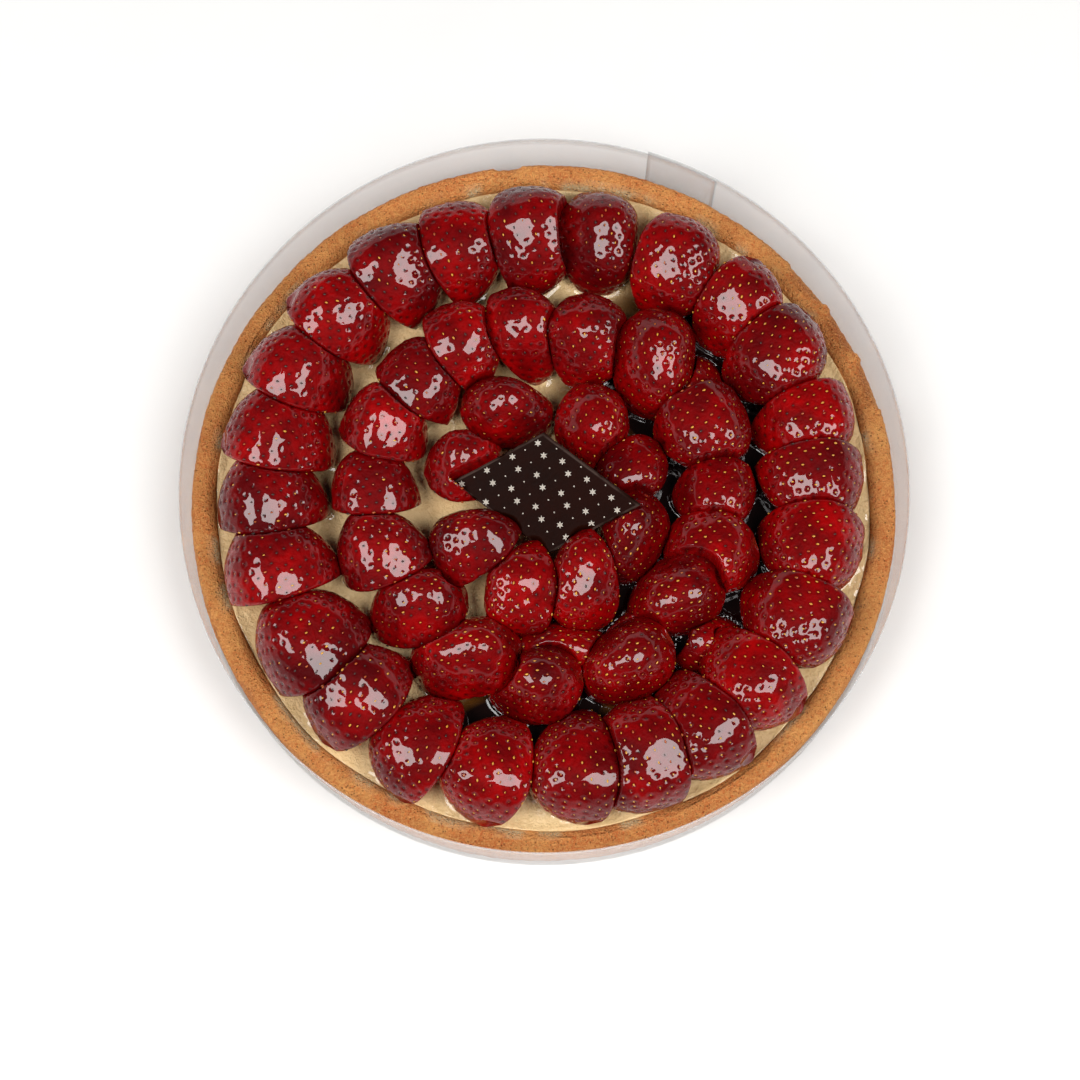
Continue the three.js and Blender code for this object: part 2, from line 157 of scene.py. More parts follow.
# ---- sizes of the fine surface -----------------------------------------------------------

SKIN_STEP = 0.48                  # distance between the points of a berry's skin
CUT_FACE_STEPS = 12
SEED_SPACING = 3.1
PIT_RADIUS = 0.95
PIT_DEPTH = 0.6                   # where no glaze has filled the pit
FULL_PIT = 0.8                    # how far glaze fills the pits on top
SEED_SIZE = (0.56, 0.34, 0.2)     # half length, half width, half thickness
CREASE = 0.7                      # how far a berry runs on under the one that lies on it
EDGE_ROLL = 1.8                   # how round the edge of the cut face is
GLAZE_REACH = 101.0               # how far out the pooled glaze may run
SUNK = 0.4                        # how far a berry sinks into what it rests on
CRUST_POINTS_ROUND = 1500
CRUST_BAND = 3.0                  # how near the outline the grain and the rounding of the rim begin
OUTLINE_STEPS = 600               # along a berry, from its hull end to its tip
DIMPLE_STEPS = 60
SOFTENING = 41                    # steps over which the shoulder is softened
SHOULDER_STEPS = (90, 160)        # steps between which the softening fades out
FOOTPRINT_STEPS = 24              # points of each half of a berry's outline
OVERLAP_REACH = 6.0               # how far past a berry's half length others may lie under it
CREASE_LIP = 0.15                 # how far outside an upper berry's outline the crease ends
PLAQUE_CREASE = 1.2               # and outside the plaque's
WALL_GAP = 0.15                   # kept between a berry and the shell's wall
PIT_STEEPNESS = 1.4               # the higher, the narrower the pits
SEED_CROWDING = 1.15              # more places than the spacing alone gives, since some are left out
STRAY_ALONG = 3                   # spread of the seeds along their spiral, in its places
STRAY_ROUND = 1.1                 # and to either side of it
SEED_EDGE = 0.06                  # angle in radians that is kept free of seeds at the cut face
SEED_DROP = 0.8                   # how far down its pit a seed sits
SEED_COVERED = 0.12               # a seed is left out where its berry is pressed in by more
SEED_CLEAR = 0.4                  # or where it isn't this far above the cream
LEVEL_SKIN = (0.72, 0.98)         # how far upward skin faces where glaze stays on it
CORE = (0, 0, -2)                 # below the cut face, so that all the skin faces away from it

# Where each berry's own random values start: a first value, and the step from ring to ring.
STRAY_START = (500, 13)
RIPENESS_START = (700, 31)
SEED_KIND_START = (900, 17)

# The middle of the shell's footprint, which the pieces are laid round.
_low, _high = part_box("crust")
CENTRE = np.array([(_low.x + _high.x) / 2, (_low.y + _high.y) / 2, 0.0]) / MM


# ---- small tools -------------------------------------------------------------------------

def seeded_random(seed):
    """The same run of random values of 0 to 1 that the solids are drawn with."""
    state = seed

    def times(a, b):
        return (a * b) & 0xFFFFFFFF

    def draw():
        nonlocal state
        state = (state + 0x6D2B79F5) & 0xFFFFFFFF
        t = times(state ^ (state >> 15), 1 | state)
        t = ((t + times(t ^ (t >> 7), 61 | t)) & 0xFFFFFFFF) ^ t
        return (t ^ (t >> 14)) / 4294967296

    return draw


def waver(seed, waves):
    """A closed, repeating waver of about -1 to 1 round the tart."""
    draw = seeded_random(seed)
    terms = []
    for count in waves:
        phase = draw() * FULL_TURN
        terms.append((count, phase, 0.5 + draw() * 0.5))
    total = sum(size for _, _, size in terms)
    return lambda angle: sum(size * np.sin(count * angle + phase) for count, phase, size in terms) / total


def smoothstep(value, low, high):
    share = np.clip((value - low) / (high - low), 0, 1)
    return share * share * (3 - 2 * share)


def cloud(points, size, seed):
    """Smooth random values of -1 to 1 at the points, that change over a distance of size."""
    scaled = points / size + seed * 17.17
    cell = np.floor(scaled).astype(np.int64)
    ease = smoothstep(scaled - cell, 0, 1)
    value = np.zeros(len(points))
    for corner in np.ndindex(2, 2, 2):
        at = cell + np.array(corner)
        mixed = (at[:, 0] * 73856093) ^ (at[:, 1] * 19349663) ^ (at[:, 2] * 83492791)
        mixed = (mixed ^ (mixed >> 13)) * 1274126177
        height = ((mixed >> 8) & 0xFFFF) / 32767.5 - 1
        value += height * np.prod(np.where(corner, ease, 1 - ease), axis=1)
    return value


def clouds(points, size, seed, layers=3):
    """Several sizes of cloud on top of one another, each half as large and strong as the last."""
    return sum(cloud(points, size / 2 ** i, seed + i) / 2 ** i for i in range(layers))


def rotation(axis, degrees):
    return np.array(Matrix.Rotation(math.radians(degrees), 3, axis))


def make_piece(name, points, faces, material, replaced=(), smooth=True, masks=None):
    """A mesh of points in millimetres round the tart's middle, riding on the tart."""
    mesh = bpy.data.meshes.new(name)
    mesh.from_pydata(((points + CENTRE) * MM).tolist(), [], faces)
    mesh.shade_smooth() if smooth else mesh.shade_flat()
    for mask, values in (masks or {}).items():
        layer = mesh.attributes.new(mask, "FLOAT_COLOR", "POINT")
        rgba = np.ones((len(points), 4), np.float32)
        rgba[:, : values.shape[1]] = values
        layer.data.foreach_set("color", rgba.ravel())
    mesh.materials.append(material)
    mesh.update()
    piece = bpy.data.objects.new(name, mesh)
    bpy.context.scene.collection.objects.link(piece)
    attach(piece, "root")
    if replaced:
        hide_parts(*replaced)
    return piece


def tube_faces(rows, around, start=0, flipped=False):
    """Quads between rows of points, each row a closed loop of the same count."""
    faces = []
    for i in range(rows - 1):
        a = start + i * around
        b = a + around
        faces += [(a + j, a + (j + 1) % around, b + (j + 1) % around, b + j) for j in range(around)]
    return [face[::-1] for face in faces] if flipped else faces


def fan_faces(centre, ring, flipped=False):
    """Triangles from one point to a closed ring of corners."""
    count = len(ring)
    pairs = ((ring[j], ring[(j + 1) % count]) for j in range(count))
    return [(centre, b, a) if flipped else (centre, a, b) for a, b in pairs]


def row_corners(row, around):
    return range(row * around, (row + 1) * around)


def closed_faces(rows, around):
    """Faces of a closed form, whose points are its rows and then the middles of the first and last."""
    middle = rows * around
    faces = tube_faces(rows, around, flipped=True)
    faces += fan_faces(middle, row_corners(0, around))
    faces += fan_faces(middle + 1, row_corners(rows - 1, around), flipped=True)
    return faces


# ---- shader tools ------------------------------------------------------------------------

NOISE_SPAN = (0.3, 0.7)           # nearly all of a noise's values


def new_finish(name):
    """A new material, its node tree and its shader."""
    material = bpy.data.materials.new(name)
    material.use_nodes = True
    tree = material.node_tree
    shader = next(node for node in tree.nodes if node.type == "BSDF_PRINCIPLED")
    return material, tree, shader


def add(tree, kind, inputs=None, **settings):
    """A node with its settings, and its inputs set to values or linked to other nodes' outputs."""
    node = tree.nodes.new(kind)
    for key, value in settings.items():
        setattr(node, key, value)
    feed(tree, node, inputs or {})
    return node


def feed(tree, node, inputs):
    for key, value in inputs.items():
        if isinstance(value, bpy.types.NodeSocket):
            tree.links.new(value, node.inputs[key])
        else:
            node.inputs[key].default_value = value


def blend_colours(tree, share, first, second):
    """The Mix node holds its share at input 0 and its two colours at inputs 6 and 7."""
    mix = add(tree, "ShaderNodeMix", {0: share, 6: first, 7: second}, data_type="RGBA")
    return mix.outputs[2]


def maths(tree, operation, first, second, clamp=False):
    node = add(tree, "ShaderNodeMath", {0: first, 1: second}, operation=operation, use_clamp=clamp)
    return node.outputs[0]


def stretch(tree, value, low, high, out_low=0.0, out_high=1.0):
    node = add(tree, "ShaderNodeMapRange", {
        "Value": value, "From Min": low, "From Max": high, "To Min": out_low, "To Max": out_high})
    return node.outputs["Result"]


def srgb(red, green, blue):
    """Screen values of 0 to 255 as a shader colour."""
    def linear(value):
        value /= 255
        return value / 12.92 if value <= 0.04045 else ((value + 0.055) / 1.055) ** 2.4
    return (linear(red), linear(green), linear(blue), 1.0)


def mottle_group():
    """Uneven colour between a dark and a light, with fine grain over it."""
    group = bpy.data.node_groups.new("mottle", "ShaderNodeTree")
    colour, number = "NodeSocketColor", "NodeSocketFloat"
    for name, kind, value in (
            ("Dark", colour, (0, 0, 0, 1)), ("Light", colour, (1, 1, 1, 1)),
            ("Patches per Metre", number, 60.0), ("Grains per Metre", number, 900.0),
            ("Grain Share", number, 0.4)):
        socket = group.interface.new_socket(name=name, in_out="INPUT", socket_type=kind)
        socket.default_value = value
    for name, kind in (("Colour", colour), ("Mask", number), ("Grain", number)):
        group.interface.new_socket(name=name, in_out="OUTPUT", socket_type=kind)
    given = group.nodes.new("NodeGroupInput").outputs
    place = add(group, "ShaderNodeTexCoord").outputs["Object"]
    patches = add(group, "ShaderNodeTexNoise", {
        "Vector": place, "Scale": given["Patches per Metre"], "Detail": 4.0, "Roughness": 0.6})
    grains = add(group, "ShaderNodeTexNoise", {
        "Vector": place, "Scale": given["Grains per Metre"], "Detail": 3.0, "Roughness": 0.65})
    coarse = stretch(group, patches.outputs["Fac"], *NOISE_SPAN)
    fine = stretch(group, grains.outputs["Fac"], *NOISE_SPAN)
    # This Mix node holds its share at input 0 and its two numbers at inputs 2 and 3.
    both = add(group, "ShaderNodeMix", {0: given["Grain Share"], 2: coarse, 3: fine}, data_type="FLOAT")
    mask = both.outputs[0]
    result = group.nodes.new("NodeGroupOutput")
    feed(group, result, {
        "Colour": blend_colours(group, mask, given["Dark"], given["Light"]), "Mask": mask, "Grain": fine})
    return group


MOTTLE = mottle_group()


def mottled(tree, dark, light, patches, grains, share):
    """The outputs of a mottling, with so many patches and grains to a metre."""
    node = add(tree, "ShaderNodeGroup", node_tree=MOTTLE)
    feed(tree, node, {
        "Dark": dark, "Light": light, "Patches per Metre": patches, "Grains per Metre": grains,
        "Grain Share": share})
    return node.outputs


def painted(tree, name):
    """The red, green and blue of a mask that the mesh carries."""
    mask = add(tree, "ShaderNodeAttribute", attribute_name=name)
    return add(tree, "ShaderNodeSeparateColor", {"Color": mask.outputs["Color"]}).outputs


def bumped(tree, shader, height, distance):
    """A bump that is so many metres high."""
    node = add(tree, "ShaderNodeBump", {"Height": height, "Distance": distance, "Strength": 1.0})
    tree.links.new(node.outputs["Normal"], shader.inputs["Normal"])


# ---- finishes ----------------------------------------------------------------------------

SPECK_COLOUR_SHARE = 0.75         # how strongly the pale sandy specks show
PORE_BUMP_SHARE = 0.8             # against the grain's 1
SPECK_BUMP_SHARE = 0.5
FILM_EDGE_HIGHLIGHT = 0.25            # how much less see-through, and so whiter, the film's cut edges are: a painted highlight


def shortcrust_finish():
    """Baked sandy pastry, browner where it is worn and at the foot, smeared with cream inside, and with
    painted shade in its pores.
    """
    material, tree, shader = new_finish("shortcrust")
    base = mottled(tree, srgb(206, 80, 24), srgb(255, 188, 106), patches=60, grains=900, share=0.6)
    bake = painted(tree, "bake")
    browned = blend_colours(tree, bake["Red"], base["Colour"], srgb(168, 70, 20))
    creamy = blend_colours(tree, bake["Green"], browned, srgb(226, 196, 150))
    place = add(tree, "ShaderNodeTexCoord").outputs["Object"]
    pores = add(tree, "ShaderNodeTexVoronoi", {"Vector": place, "Scale": 760.0, "Randomness": 1.0})
    round_pores = stretch(tree, pores.outputs["Distance"], low=0.05, high=0.28)
    # Painted shade: the holes of the pores are darkened.
    pore_shaded = blend_colours(tree, round_pores, srgb(140, 62, 22), creamy)
    sand = add(tree, "ShaderNodeTexNoise", {"Vector": place, "Scale": 1900.0, "Detail": 3.0})
    speck = stretch(tree, sand.outputs["Fac"], low=0.46, high=0.62)
    speck_colour = maths(tree, "MULTIPLY", speck, SPECK_COLOUR_SHARE)
    sandy = blend_colours(tree, speck_colour, pore_shaded, srgb(255, 182, 108))
    feed(tree, shader, {"Base Color": sandy, "Roughness": 0.85, "Specular IOR Level": 0.3})
    pore_bump = maths(tree, "MULTIPLY", round_pores, PORE_BUMP_SHARE)
    speck_bump = maths(tree, "MULTIPLY", speck, SPECK_BUMP_SHARE)
    height = maths(tree, "ADD", maths(tree, "ADD", base["Grain"], pore_bump), speck_bump)
    bumped(tree, shader, height, distance=0.0008)
    return material


def cream_finish():
    """Set pastry cream, smooth and faintly glazed, stained amber where glaze has run, and more so towards
    the right as painted shade.
    """
    material, tree, shader = new_finish("pastry_cream")
    base = mottled(tree, srgb(224, 186, 126), srgb(250, 218, 162), patches=90, grains=700, share=0.3)
    stain_and_shade = painted(tree, "stain_and_shade")["Red"]
    feed(tree, shader, {
        "Base Color": blend_colours(tree, stain_and_shade, base["Colour"], srgb(176, 116, 52)),
        "Roughness": 0.42, "Coat Weight": 0.9, "Coat Roughness": 0.06})
    bumped(tree, shader, base["Grain"], distance=0.0004)
    return material


def strawberry_finish():
    """Glazed ripe skin: deep red, with painted shade darkening the pits, paler flesh at the hull and the
    cut face, and clear gloss over all."""
    material, tree, shader = new_finish("glazed_strawberry")
    skin = painted(tree, "skin")
    base = mottled(tree, srgb(90, 0, 1), srgb(168, 0, 2), patches=110, grains=620, share=0.25)
    ripe = blend_colours(tree, skin["Red"], base["Colour"], srgb(72, 0, 3))
    # Painted shade: the skin round each seed, in its pit, is given a darker red.
    pit_shaded = blend_colours(tree, skin["Green"], ripe, srgb(58, 0, 1))
    flesh = mottled(tree, srgb(150, 26, 14), srgb(190, 64, 40), patches=160, grains=900, share=0.4)
    feed(tree, shader, {
        "Base Color": blend_colours(tree, skin["Blue"], pit_shaded, flesh["Colour"]),
        "Roughness": 0.5, "Specular IOR Level": 0.05,
        "Coat Weight": 1.0, "Coat Roughness": 0.02, "Coat IOR": 1.43})
    bumped(tree, shader, base["Grain"], distance=0.00022)
    return material


def seed_finish(name, dark, light):
    """Small hard seeds, with a little of the glaze on them."""
    material, tree, shader = new_finish(name)
    base = mottled(tree, dark, light, patches=300, grains=1500, share=0.3)
    feed(tree, shader, {
        "Base Color": base["Colour"], "Roughness": 0.45, "Coat Weight": 0.35, "Coat Roughness": 0.12})
    return material


def glaze_finish():
    """Clear red fruit glaze: amber where it is thin over the cream, near black where it is deep."""
    material, tree, shader = new_finish("fruit_glaze")
    depth = painted(tree, "depth")["Red"]
    deep = stretch(tree, depth, low=0.2, high=0.6)
    feed(tree, shader, {
        "Base Color": blend_colours(tree, deep, srgb(104, 62, 16), srgb(14, 1, 1)),
        "Alpha": stretch(tree, depth, low=0.0, high=0.4, out_low=0.0, out_high=0.97),
        "Roughness": 0.5, "Specular IOR Level": 0.02, "Coat Weight": 1.0, "Coat Roughness": 0.02,
        "Coat IOR": 1.5})
    return material


def chocolate_finish():
    """Dark chocolate with a satin skin and a lighter edge, partly scraped and partly a painted
    reflection.
    """
    material, tree, shader = new_finish("chocolate")
    base = mottled(tree, srgb(18, 5, 2), srgb(32, 9, 4), patches=60, grains=600, share=0.25)
    worn = painted(tree, "worn")["Red"]
    # The lighter edge colour is partly real scraping and partly painted reflection.
    feed(tree, shader, {
        "Base Color": blend_colours(tree, worn, base["Colour"], srgb(74, 60, 54)),
        "Roughness": stretch(tree, base["Mask"], low=0.0, high=1.0, out_low=0.3, out_high=0.42),
        "Specular IOR Level": 0.02})
    bumped(tree, shader, base["Mask"], distance=0.00006)
    return material


def print_finish():
    """Pale coloured cocoa butter, a little worn."""
    material, tree, shader = new_finish("cocoa_butter_print")
    base = mottled(tree, srgb(150, 138, 124), srgb(190, 182, 170), patches=400, grains=2500, share=0.5)
    feed(tree, shader, {"Base Color": base["Colour"], "Roughness": 0.5})
    return material


def film_finish():
    """Clear stiff film: see-through face on, whitened at a glancing angle as a painted reflection and
    along its cut edges as a painted highlight.
    """
    material, tree, shader = new_finish("clear_film")
    facing = add(tree, "ShaderNodeLayerWeight", {"Blend": 0.35})
    edge = painted(tree, "edge")["Red"]
    # Painted reflection: the white film is less see-through at a glancing angle.
    glancing = stretch(tree, facing.outputs["Facing"], low=0.2, high=1.0, out_low=0.04, out_high=0.36)
    edge_highlight = maths(tree, "MULTIPLY", edge, FILM_EDGE_HIGHLIGHT)
    feed(tree, shader, {
        "Base Color": srgb(206, 210, 210), "Roughness": 0.06,
        "Alpha": maths(tree, "ADD", glancing, edge_highlight, clamp=True),
        "Coat Weight": 0.6, "Coat Roughness": 0.04})
    return material


def floor_finish():
    material, tree, shader = new_finish("pale_floor")
    base = mottled(tree, srgb(232, 231, 229), srgb(238, 237, 235), patches=3, grains=40, share=0.2)
    feed(tree, shader, {"Base Color": base["Colour"], "Roughness": 0.7})
    return material


# ---- crust -------------------------------------------------------------------------------

wall_waver = waver(11, (1, 2, 3, 5, 9, 14))
rim_waver = waver(12, (2, 3, 7, 11, 19))
edge_waver = waver(13, (5, 8, 13, 21))


def inner_radius(angle):
    return WALL_LINE + WALL_WAVER * wall_waver(angle)


def rim_rise(angle):
    return RIM_WAVER * (rim_waver(angle) - 1)


def chip_depth(angle):
    depth = np.zeros_like(angle)
    for bearing, half_width, size in RIM_CHIPS:
        turned_by = (np.degrees(angle) - bearing + 180) % 360 - 180
        across = np.clip(np.abs(turned_by) / half_width, 0, 1)
        depth += size * np.sqrt(1 - across ** 2)
    return depth


def crust_section():
    """The shell's section from the middle of the sole, up the outside and down the inside: rows of
    points between its corners, with those at the rim rounded."""
    r, h = CRUST_RADIUS, CRUST_HEIGHT
    corners = [
        (0.0, 0.0), (r - 30, 0.0), (r - FOOT_BEVEL, 0.0), (r, FOOT_BEVEL), (r, h - TOP_BAND),
        (r, h - RIM_BEVEL), (r - RIM_BEVEL, h), (WALL_LINE + RIM_SLOPE, h), (WALL_LINE, h - RIM_SLOPE),
        (WALL_LINE, CREAM_LEVEL - 3), (WALL_LINE, CRUST_FLOOR), (0.0, CRUST_FLOOR),
    ]
    steps = [12, 20, 3, 22, 9, 4, 9, 5, 4, 5, 30]
    points = []
    for a, b, count in zip(corners, corners[1:], steps):
        share = np.linspace(0, 1, count, endpoint=False)[:, None]
        points.append(np.array(a) + share * (np.array(b) - np.array(a)))
    points.append(np.array([corners[-1]]))
    line = np.concatenate(points)
    near_rim = np.abs(line[1:-1, 1:] - CRUST_HEIGHT) < CRUST_BAND
    for _ in range(2):
        rounded = (line[:-2] + 2 * line[1:-1] + line[2:]) / 4
        line[1:-1] = np.where(near_rim, rounded, line[1:-1])
    return line


def make_crust(finish):
    section = crust_section()[1:-1]
    around = CRUST_POINTS_ROUND
    angle = np.arange(around) / around * FULL_TURN
    radius, angle_grid = np.meshgrid(section[:, 0], angle, indexing="ij")
    height = np.repeat(section[:, 1:], around, axis=1)
    slack = 0.2                   # takes in the points that stand on the lines themselves
    on_wall = (radius > WALL_LINE - slack) & (radius < WALL_LINE + RIM_SLOPE + slack)
    on_wall &= height > CRUST_FLOOR - slack
    edge_share = smoothstep(height, CRUST_HEIGHT - TOP_BAND, CRUST_HEIGHT - RIM_BEVEL)
    edge_share *= smoothstep(radius, CRUST_RADIUS - EDGE_BAND, CRUST_RADIUS - RIM_BEVEL)
    edge_share *= radius > CRUST_RADIUS - EDGE_BAND + 1
    top_share = smoothstep(height, CRUST_HEIGHT - TOP_BAND - 1, CRUST_HEIGHT - 1)
    wear = chip_depth(angle_grid) + EDGE_WAVER * (1 + edge_waver(angle_grid))
    moved = radius + np.where(on_wall, inner_radius(angle_grid) - WALL_LINE, 0) - edge_share * wear
    lifted = height + top_share * rim_rise(angle_grid)
    outward = np.stack([np.cos(angle_grid), np.sin(angle_grid)], axis=2).reshape(-1, 2)
    points = np.column_stack([outward * moved.reshape(-1, 1), lifted.reshape(-1)])

    # Grain and lost crumbs on the outside and the top, nearly all of it sunk in.
    grain_height, uneven_height, crumb_depth = 0.2, 0.08, 0.6
    relief = grain_height * (clouds(points, size=1.1, seed=5, layers=2) - 0.9)
    relief += uneven_height * (clouds(points, size=6, seed=9) - 1)
    relief += crumb_depth * np.minimum(0, cloud(points, size=2.0, seed=21) + 0.5)
    before = height.reshape(-1)
    outside = (radius.reshape(-1) > CRUST_RADIUS - CRUST_BAND) & (before > 1)
    points[outside, :2] += outward[outside] * relief[outside, None]
    on_top = before > CRUST_HEIGHT - CRUST_BAND
    points[on_top, 2] += relief[on_top]

    # The walls' faces look inward, and those of the two fans that close the sole and floor outward.
    rows = len(section)
    middle = len(points)
    points = np.vstack([points, [[0, 0, 0], [0, 0, CRUST_FLOOR]]])
    faces = tube_faces(rows, around, flipped=True)
    faces += fan_faces(middle, row_corners(0, around), flipped=True)
    faces += fan_faces(middle + 1, row_corners(rows - 1, around))

    # Browned low on the outside and on the worn edge; smeared with cream down the inside slope.
    brown_below, foot_browning, edge_browning = 12, 0.4, 0.5
    browned = foot_browning * smoothstep(brown_below - points[:, 2], 0, 14)
    edge_brown = edge_share.reshape(-1) * smoothstep(wear.reshape(-1), 0.7, 2.2) * edge_browning
    browned += np.append(edge_brown, [0, 0])
    browned = np.clip(browned + 0.2 * clouds(points, size=26, seed=33), 0, 1)
    inside = np.append((radius < WALL_LINE + RIM_SLOPE + 1.2).reshape(-1), [False, False])
    smear = smoothstep(clouds(points * [1, 1, 0.4], size=9, seed=40), -0.1, 0.7) * inside
    low = smoothstep(CRUST_HEIGHT - 0.6 - points[:, 2], -0.4, 1.6)
    masks = np.stack([browned, np.clip(smear * low * 1.2, 0, 1)], axis=1)
    make_piece("crust_shell", points, faces, finish, ("crust",), masks={"bake": masks})


# ---- strawberries ------------------------------------------------------------------------

def berry_outline(share):
    """Share of the full width at a share of the length."""
    share = np.clip(share, 0, 1)
    back = SHOULDER_BLUNTNESS * np.clip(BERRY_WIDEST - share, 0, 1) / BERRY_WIDEST
    forward = np.clip(share - BERRY_WIDEST, 0, 1) / (1 - BERRY_WIDEST)
    tip = np.clip(1 - forward ** TIP_POWERS[0], 0, 1) ** TIP_POWERS[1]
    return np.where(share < BERRY_WIDEST, np.sqrt(1 - back ** SHOULDER_POWER), tip)


class Berry:
    """One halved berry: its form, how it lies, and which points are under it or in it."""

    def __init__(self, ring, index, row, draw):
        bearing, distance, turn, self.length, self.width, steepness = row
        self.node = f"berry_{ring['name']}_{index + 1:02d}"
        self.ring, self.index = ring, index
        self.bend = (draw() - 0.5) * BERRY_BEND
        self.lobes = (draw() * FULL_TURN, draw() * FULL_TURN)
        lift = TIPS_OVER_PLAQUE.get(index + 1, 0) if ring["name"] == "inner" else 0
        self.over_plaque = lift > 0
        lean = steepness + (draw() - 0.5) * LEAN_SPREAD
        nod = (draw() - 0.5) * NOD_SPREAD - lift
        turned = math.radians(turn)
        reach = math.hypot(self.width / 2 * math.cos(turned), self.length / 2 * math.sin(turned))
        level = CREAM_LEVEL + GAP + reach * math.sin(math.radians(lean)) - ring["press"]
        at = math.radians(bearing)
        self.centre = np.array([distance * math.cos(at), distance * math.sin(at), level])
        self.turning = (rotation("Z", bearing + 180) @ rotation("Y", -ring["nose"])
                        @ rotation("X", -lean) @ rotation("Z", turn) @ rotation("Y", nod))
        self.footprint = self.edge_line()

    def random_from(self, start):
        """A run of random values that only this berry draws."""
        first, step = start
        return seeded_random(first + self.ring["seed"] * step + self.index)

    def skin_points(self, along, share, around):
        """Local points of the skin, from places along the length, outline shares and angles round."""
        across = along / self.length + 0.5
        swell = (1 + ROUND_LOBES * np.sin(2 * around + self.lobes[0])
                 + LENGTH_LOBES * np.sin(3 * across * np.pi + self.lobes[1]))
        y = self.width / 2 * swell * share * np.cos(around) + self.bend * across ** 2
        z = self.width * BERRY_HEIGHT * swell * share * np.abs(np.sin(around)) ** EDGE_SHARPNESS
        return np.stack([along + 0 * around, y, z], axis=-1)

    def edge_line(self):
        """The outline of the cut face, as local points."""
        share = 0.5 - 0.5 * np.cos(np.linspace(0, np.pi, FOOTPRINT_STEPS))
        along = (share - 0.5) * self.length
        outline = berry_outline(share)
        one = self.skin_points(along, outline, np.zeros(FOOTPRINT_STEPS))
        other = self.skin_points(along, outline, np.full(FOOTPRINT_STEPS, np.pi))
        return np.concatenate([one[:, :2], other[::-1, :2]])

    def placed(self, local):
        return local @ self.turning.T + self.centre

    def within(self, points):
        """How far points are outside the outline, seen straight down, and how far above the cut face."""
        above = (points - self.centre) @ self.turning[:, 2] / self.turning[2, 2]
        foot = points - self.centre
        foot[:, 2] -= above
        return outside_by((foot @ self.turning)[:, :2], self.footprint), above

    def in_overhang(self, points):
        """Whether points are inside the part of the berry that leans out past its outline."""
        local = (points - self.centre) @ self.turning
        share = local[:, 0] / self.length + 0.5
        outline = berry_outline(share) + TINY
        least, ends = 0.1, 0.02
        half_width = np.maximum(self.width / 2 * outline - SUNK, least)
        height = np.maximum(self.width * BERRY_HEIGHT * outline - SUNK, least)
        y = (local[:, 1] - self.bend * share ** 2) / half_width
        z = local[:, 2] / height
        above = local[:, 2] > 0
        rounded = y ** 2 + np.where(above, z, 0) ** (2 / EDGE_SHARPNESS)
        return (share > ends) & (share < 1 - ends) & above & (rounded < 1)


def outside_by(points, polygon):
    """Distance of each point outside a closed outline, negative inside."""
    nearest = np.full(len(points), np.inf)
    inside = np.zeros(len(points), bool)
    for a, b in zip(polygon, np.roll(polygon, -1, axis=0)):
        edge = b - a
        along = np.clip(((points - a) @ edge) / max(edge @ edge, TINIEST), 0, 1)
        nearest = np.minimum(nearest, np.linalg.norm(points - a - along[:, None] * edge, axis=1))
        crossing = (a[1] > points[:, 1]) != (b[1] > points[:, 1])
        if abs(edge[1]) > TINIEST:
            inside ^= crossing & (points[:, 0] < a[0] + (points[:, 1] - a[1]) * edge[0] / edge[1])
    return np.where(inside, -nearest, nearest)


def lies_over(upper, lower):
    """In a later ring, or one or two places on in the same ring."""
    if upper.ring is not lower.ring:
        return RINGS.index(upper.ring) > RINGS.index(lower.ring)
    ahead = (upper.index - lower.index) % len(lower.ring["berries"])
    return ahead in (1, 2)


def pressed_under(points, upper, gap):
    """Points under an upper berry are lowered to its cut face, from a little way inside its outline."""
    apart = np.linalg.norm(points[:, :2] - upper.centre[:2], axis=1)
    near = apart < upper.length / 2 + OVERLAP_REACH
    if not near.any():
        return points
    close = points[near]
    outside, above = upper.within(close)
    share = 1 - smoothstep(outside, -CREASE, CREASE_LIP)
    share = np.maximum(share, upper.in_overhang(close))
    drop = np.clip(above + gap, 0, None)
    points = points.copy()
    points[near, 2] = close[:, 2] - share * drop
    return points


PLAQUE_TURNING = rotation("Z", PLAQUE_TILT_BEARING) @ rotation("Y", PLAQUE_TILT)


def plaque_corners():
    """The left, front, right and back corner, from the middle of the plaque and in its own plane."""
    edges = []
    for side, angle in zip(PLAQUE_SIDES, PLAQUE_EDGE_ANGLES):
        at = math.radians(angle)
        edges.append(side * np.array([math.cos(at), math.sin(at)]))
    left = -(edges[0] + edges[1]) / 2
    back = left + edges[0]
    right = back + edges[1]
    front = right - edges[0]
    return np.array([left, front, right, back])


def under_plaque(points, gap):
    """Points under the plaque are lowered to just below its back."""
    normal = PLAQUE_TURNING[:, 2]
    centre = np.array(PLAQUE_CENTRE)
    above = ((points - centre) @ normal + PLAQUE_THICKNESS) / normal[2]
    foot = points - centre
    foot[:, 2] -= above
    outside = outside_by((foot @ PLAQUE_TURNING)[:, :2], plaque_corners())
    share = 1 - smoothstep(outside, GAP, PLAQUE_CREASE)
    points = points.copy()
    points[:, 2] -= share * np.clip(above + gap, 0, None)
    return points


def inside_crust(points):
    """Points that would be in the shell's wall are drawn in to its inner face."""
    angle = np.arctan2(points[:, 1], points[:, 0])
    radius = np.hypot(points[:, 0], points[:, 1])
    rim = CRUST_HEIGHT + rim_rise(angle)
    limit = inner_radius(angle) - WALL_GAP + np.clip(points[:, 2] - (rim - RIM_SLOPE), 0, RIM_SLOPE)
    just_over = 0.1
    shrink = np.where(points[:, 2] < rim + just_over, np.minimum(1, limit / np.maximum(radius, 1)), 1)
    points = points.copy()
    points[:, :2] *= shrink[:, None]
    return points


def settled(points, berry, berries, gap):
    """Where a berry's points end up under its neighbours and the plaque, and inside the wall."""
    for upper in berries:
        near = np.linalg.norm(upper.centre - berry.centre) < NEIGHBOUR_REACH
        if upper is not berry and near and lies_over(upper, berry):
            points = pressed_under(points, upper, gap)
    if berry.ring["name"] == "outer":
        points = inside_crust(points)
    if not berry.over_plaque and berry.ring["name"] != "outer":
        points = under_plaque(points, gap)
    return points


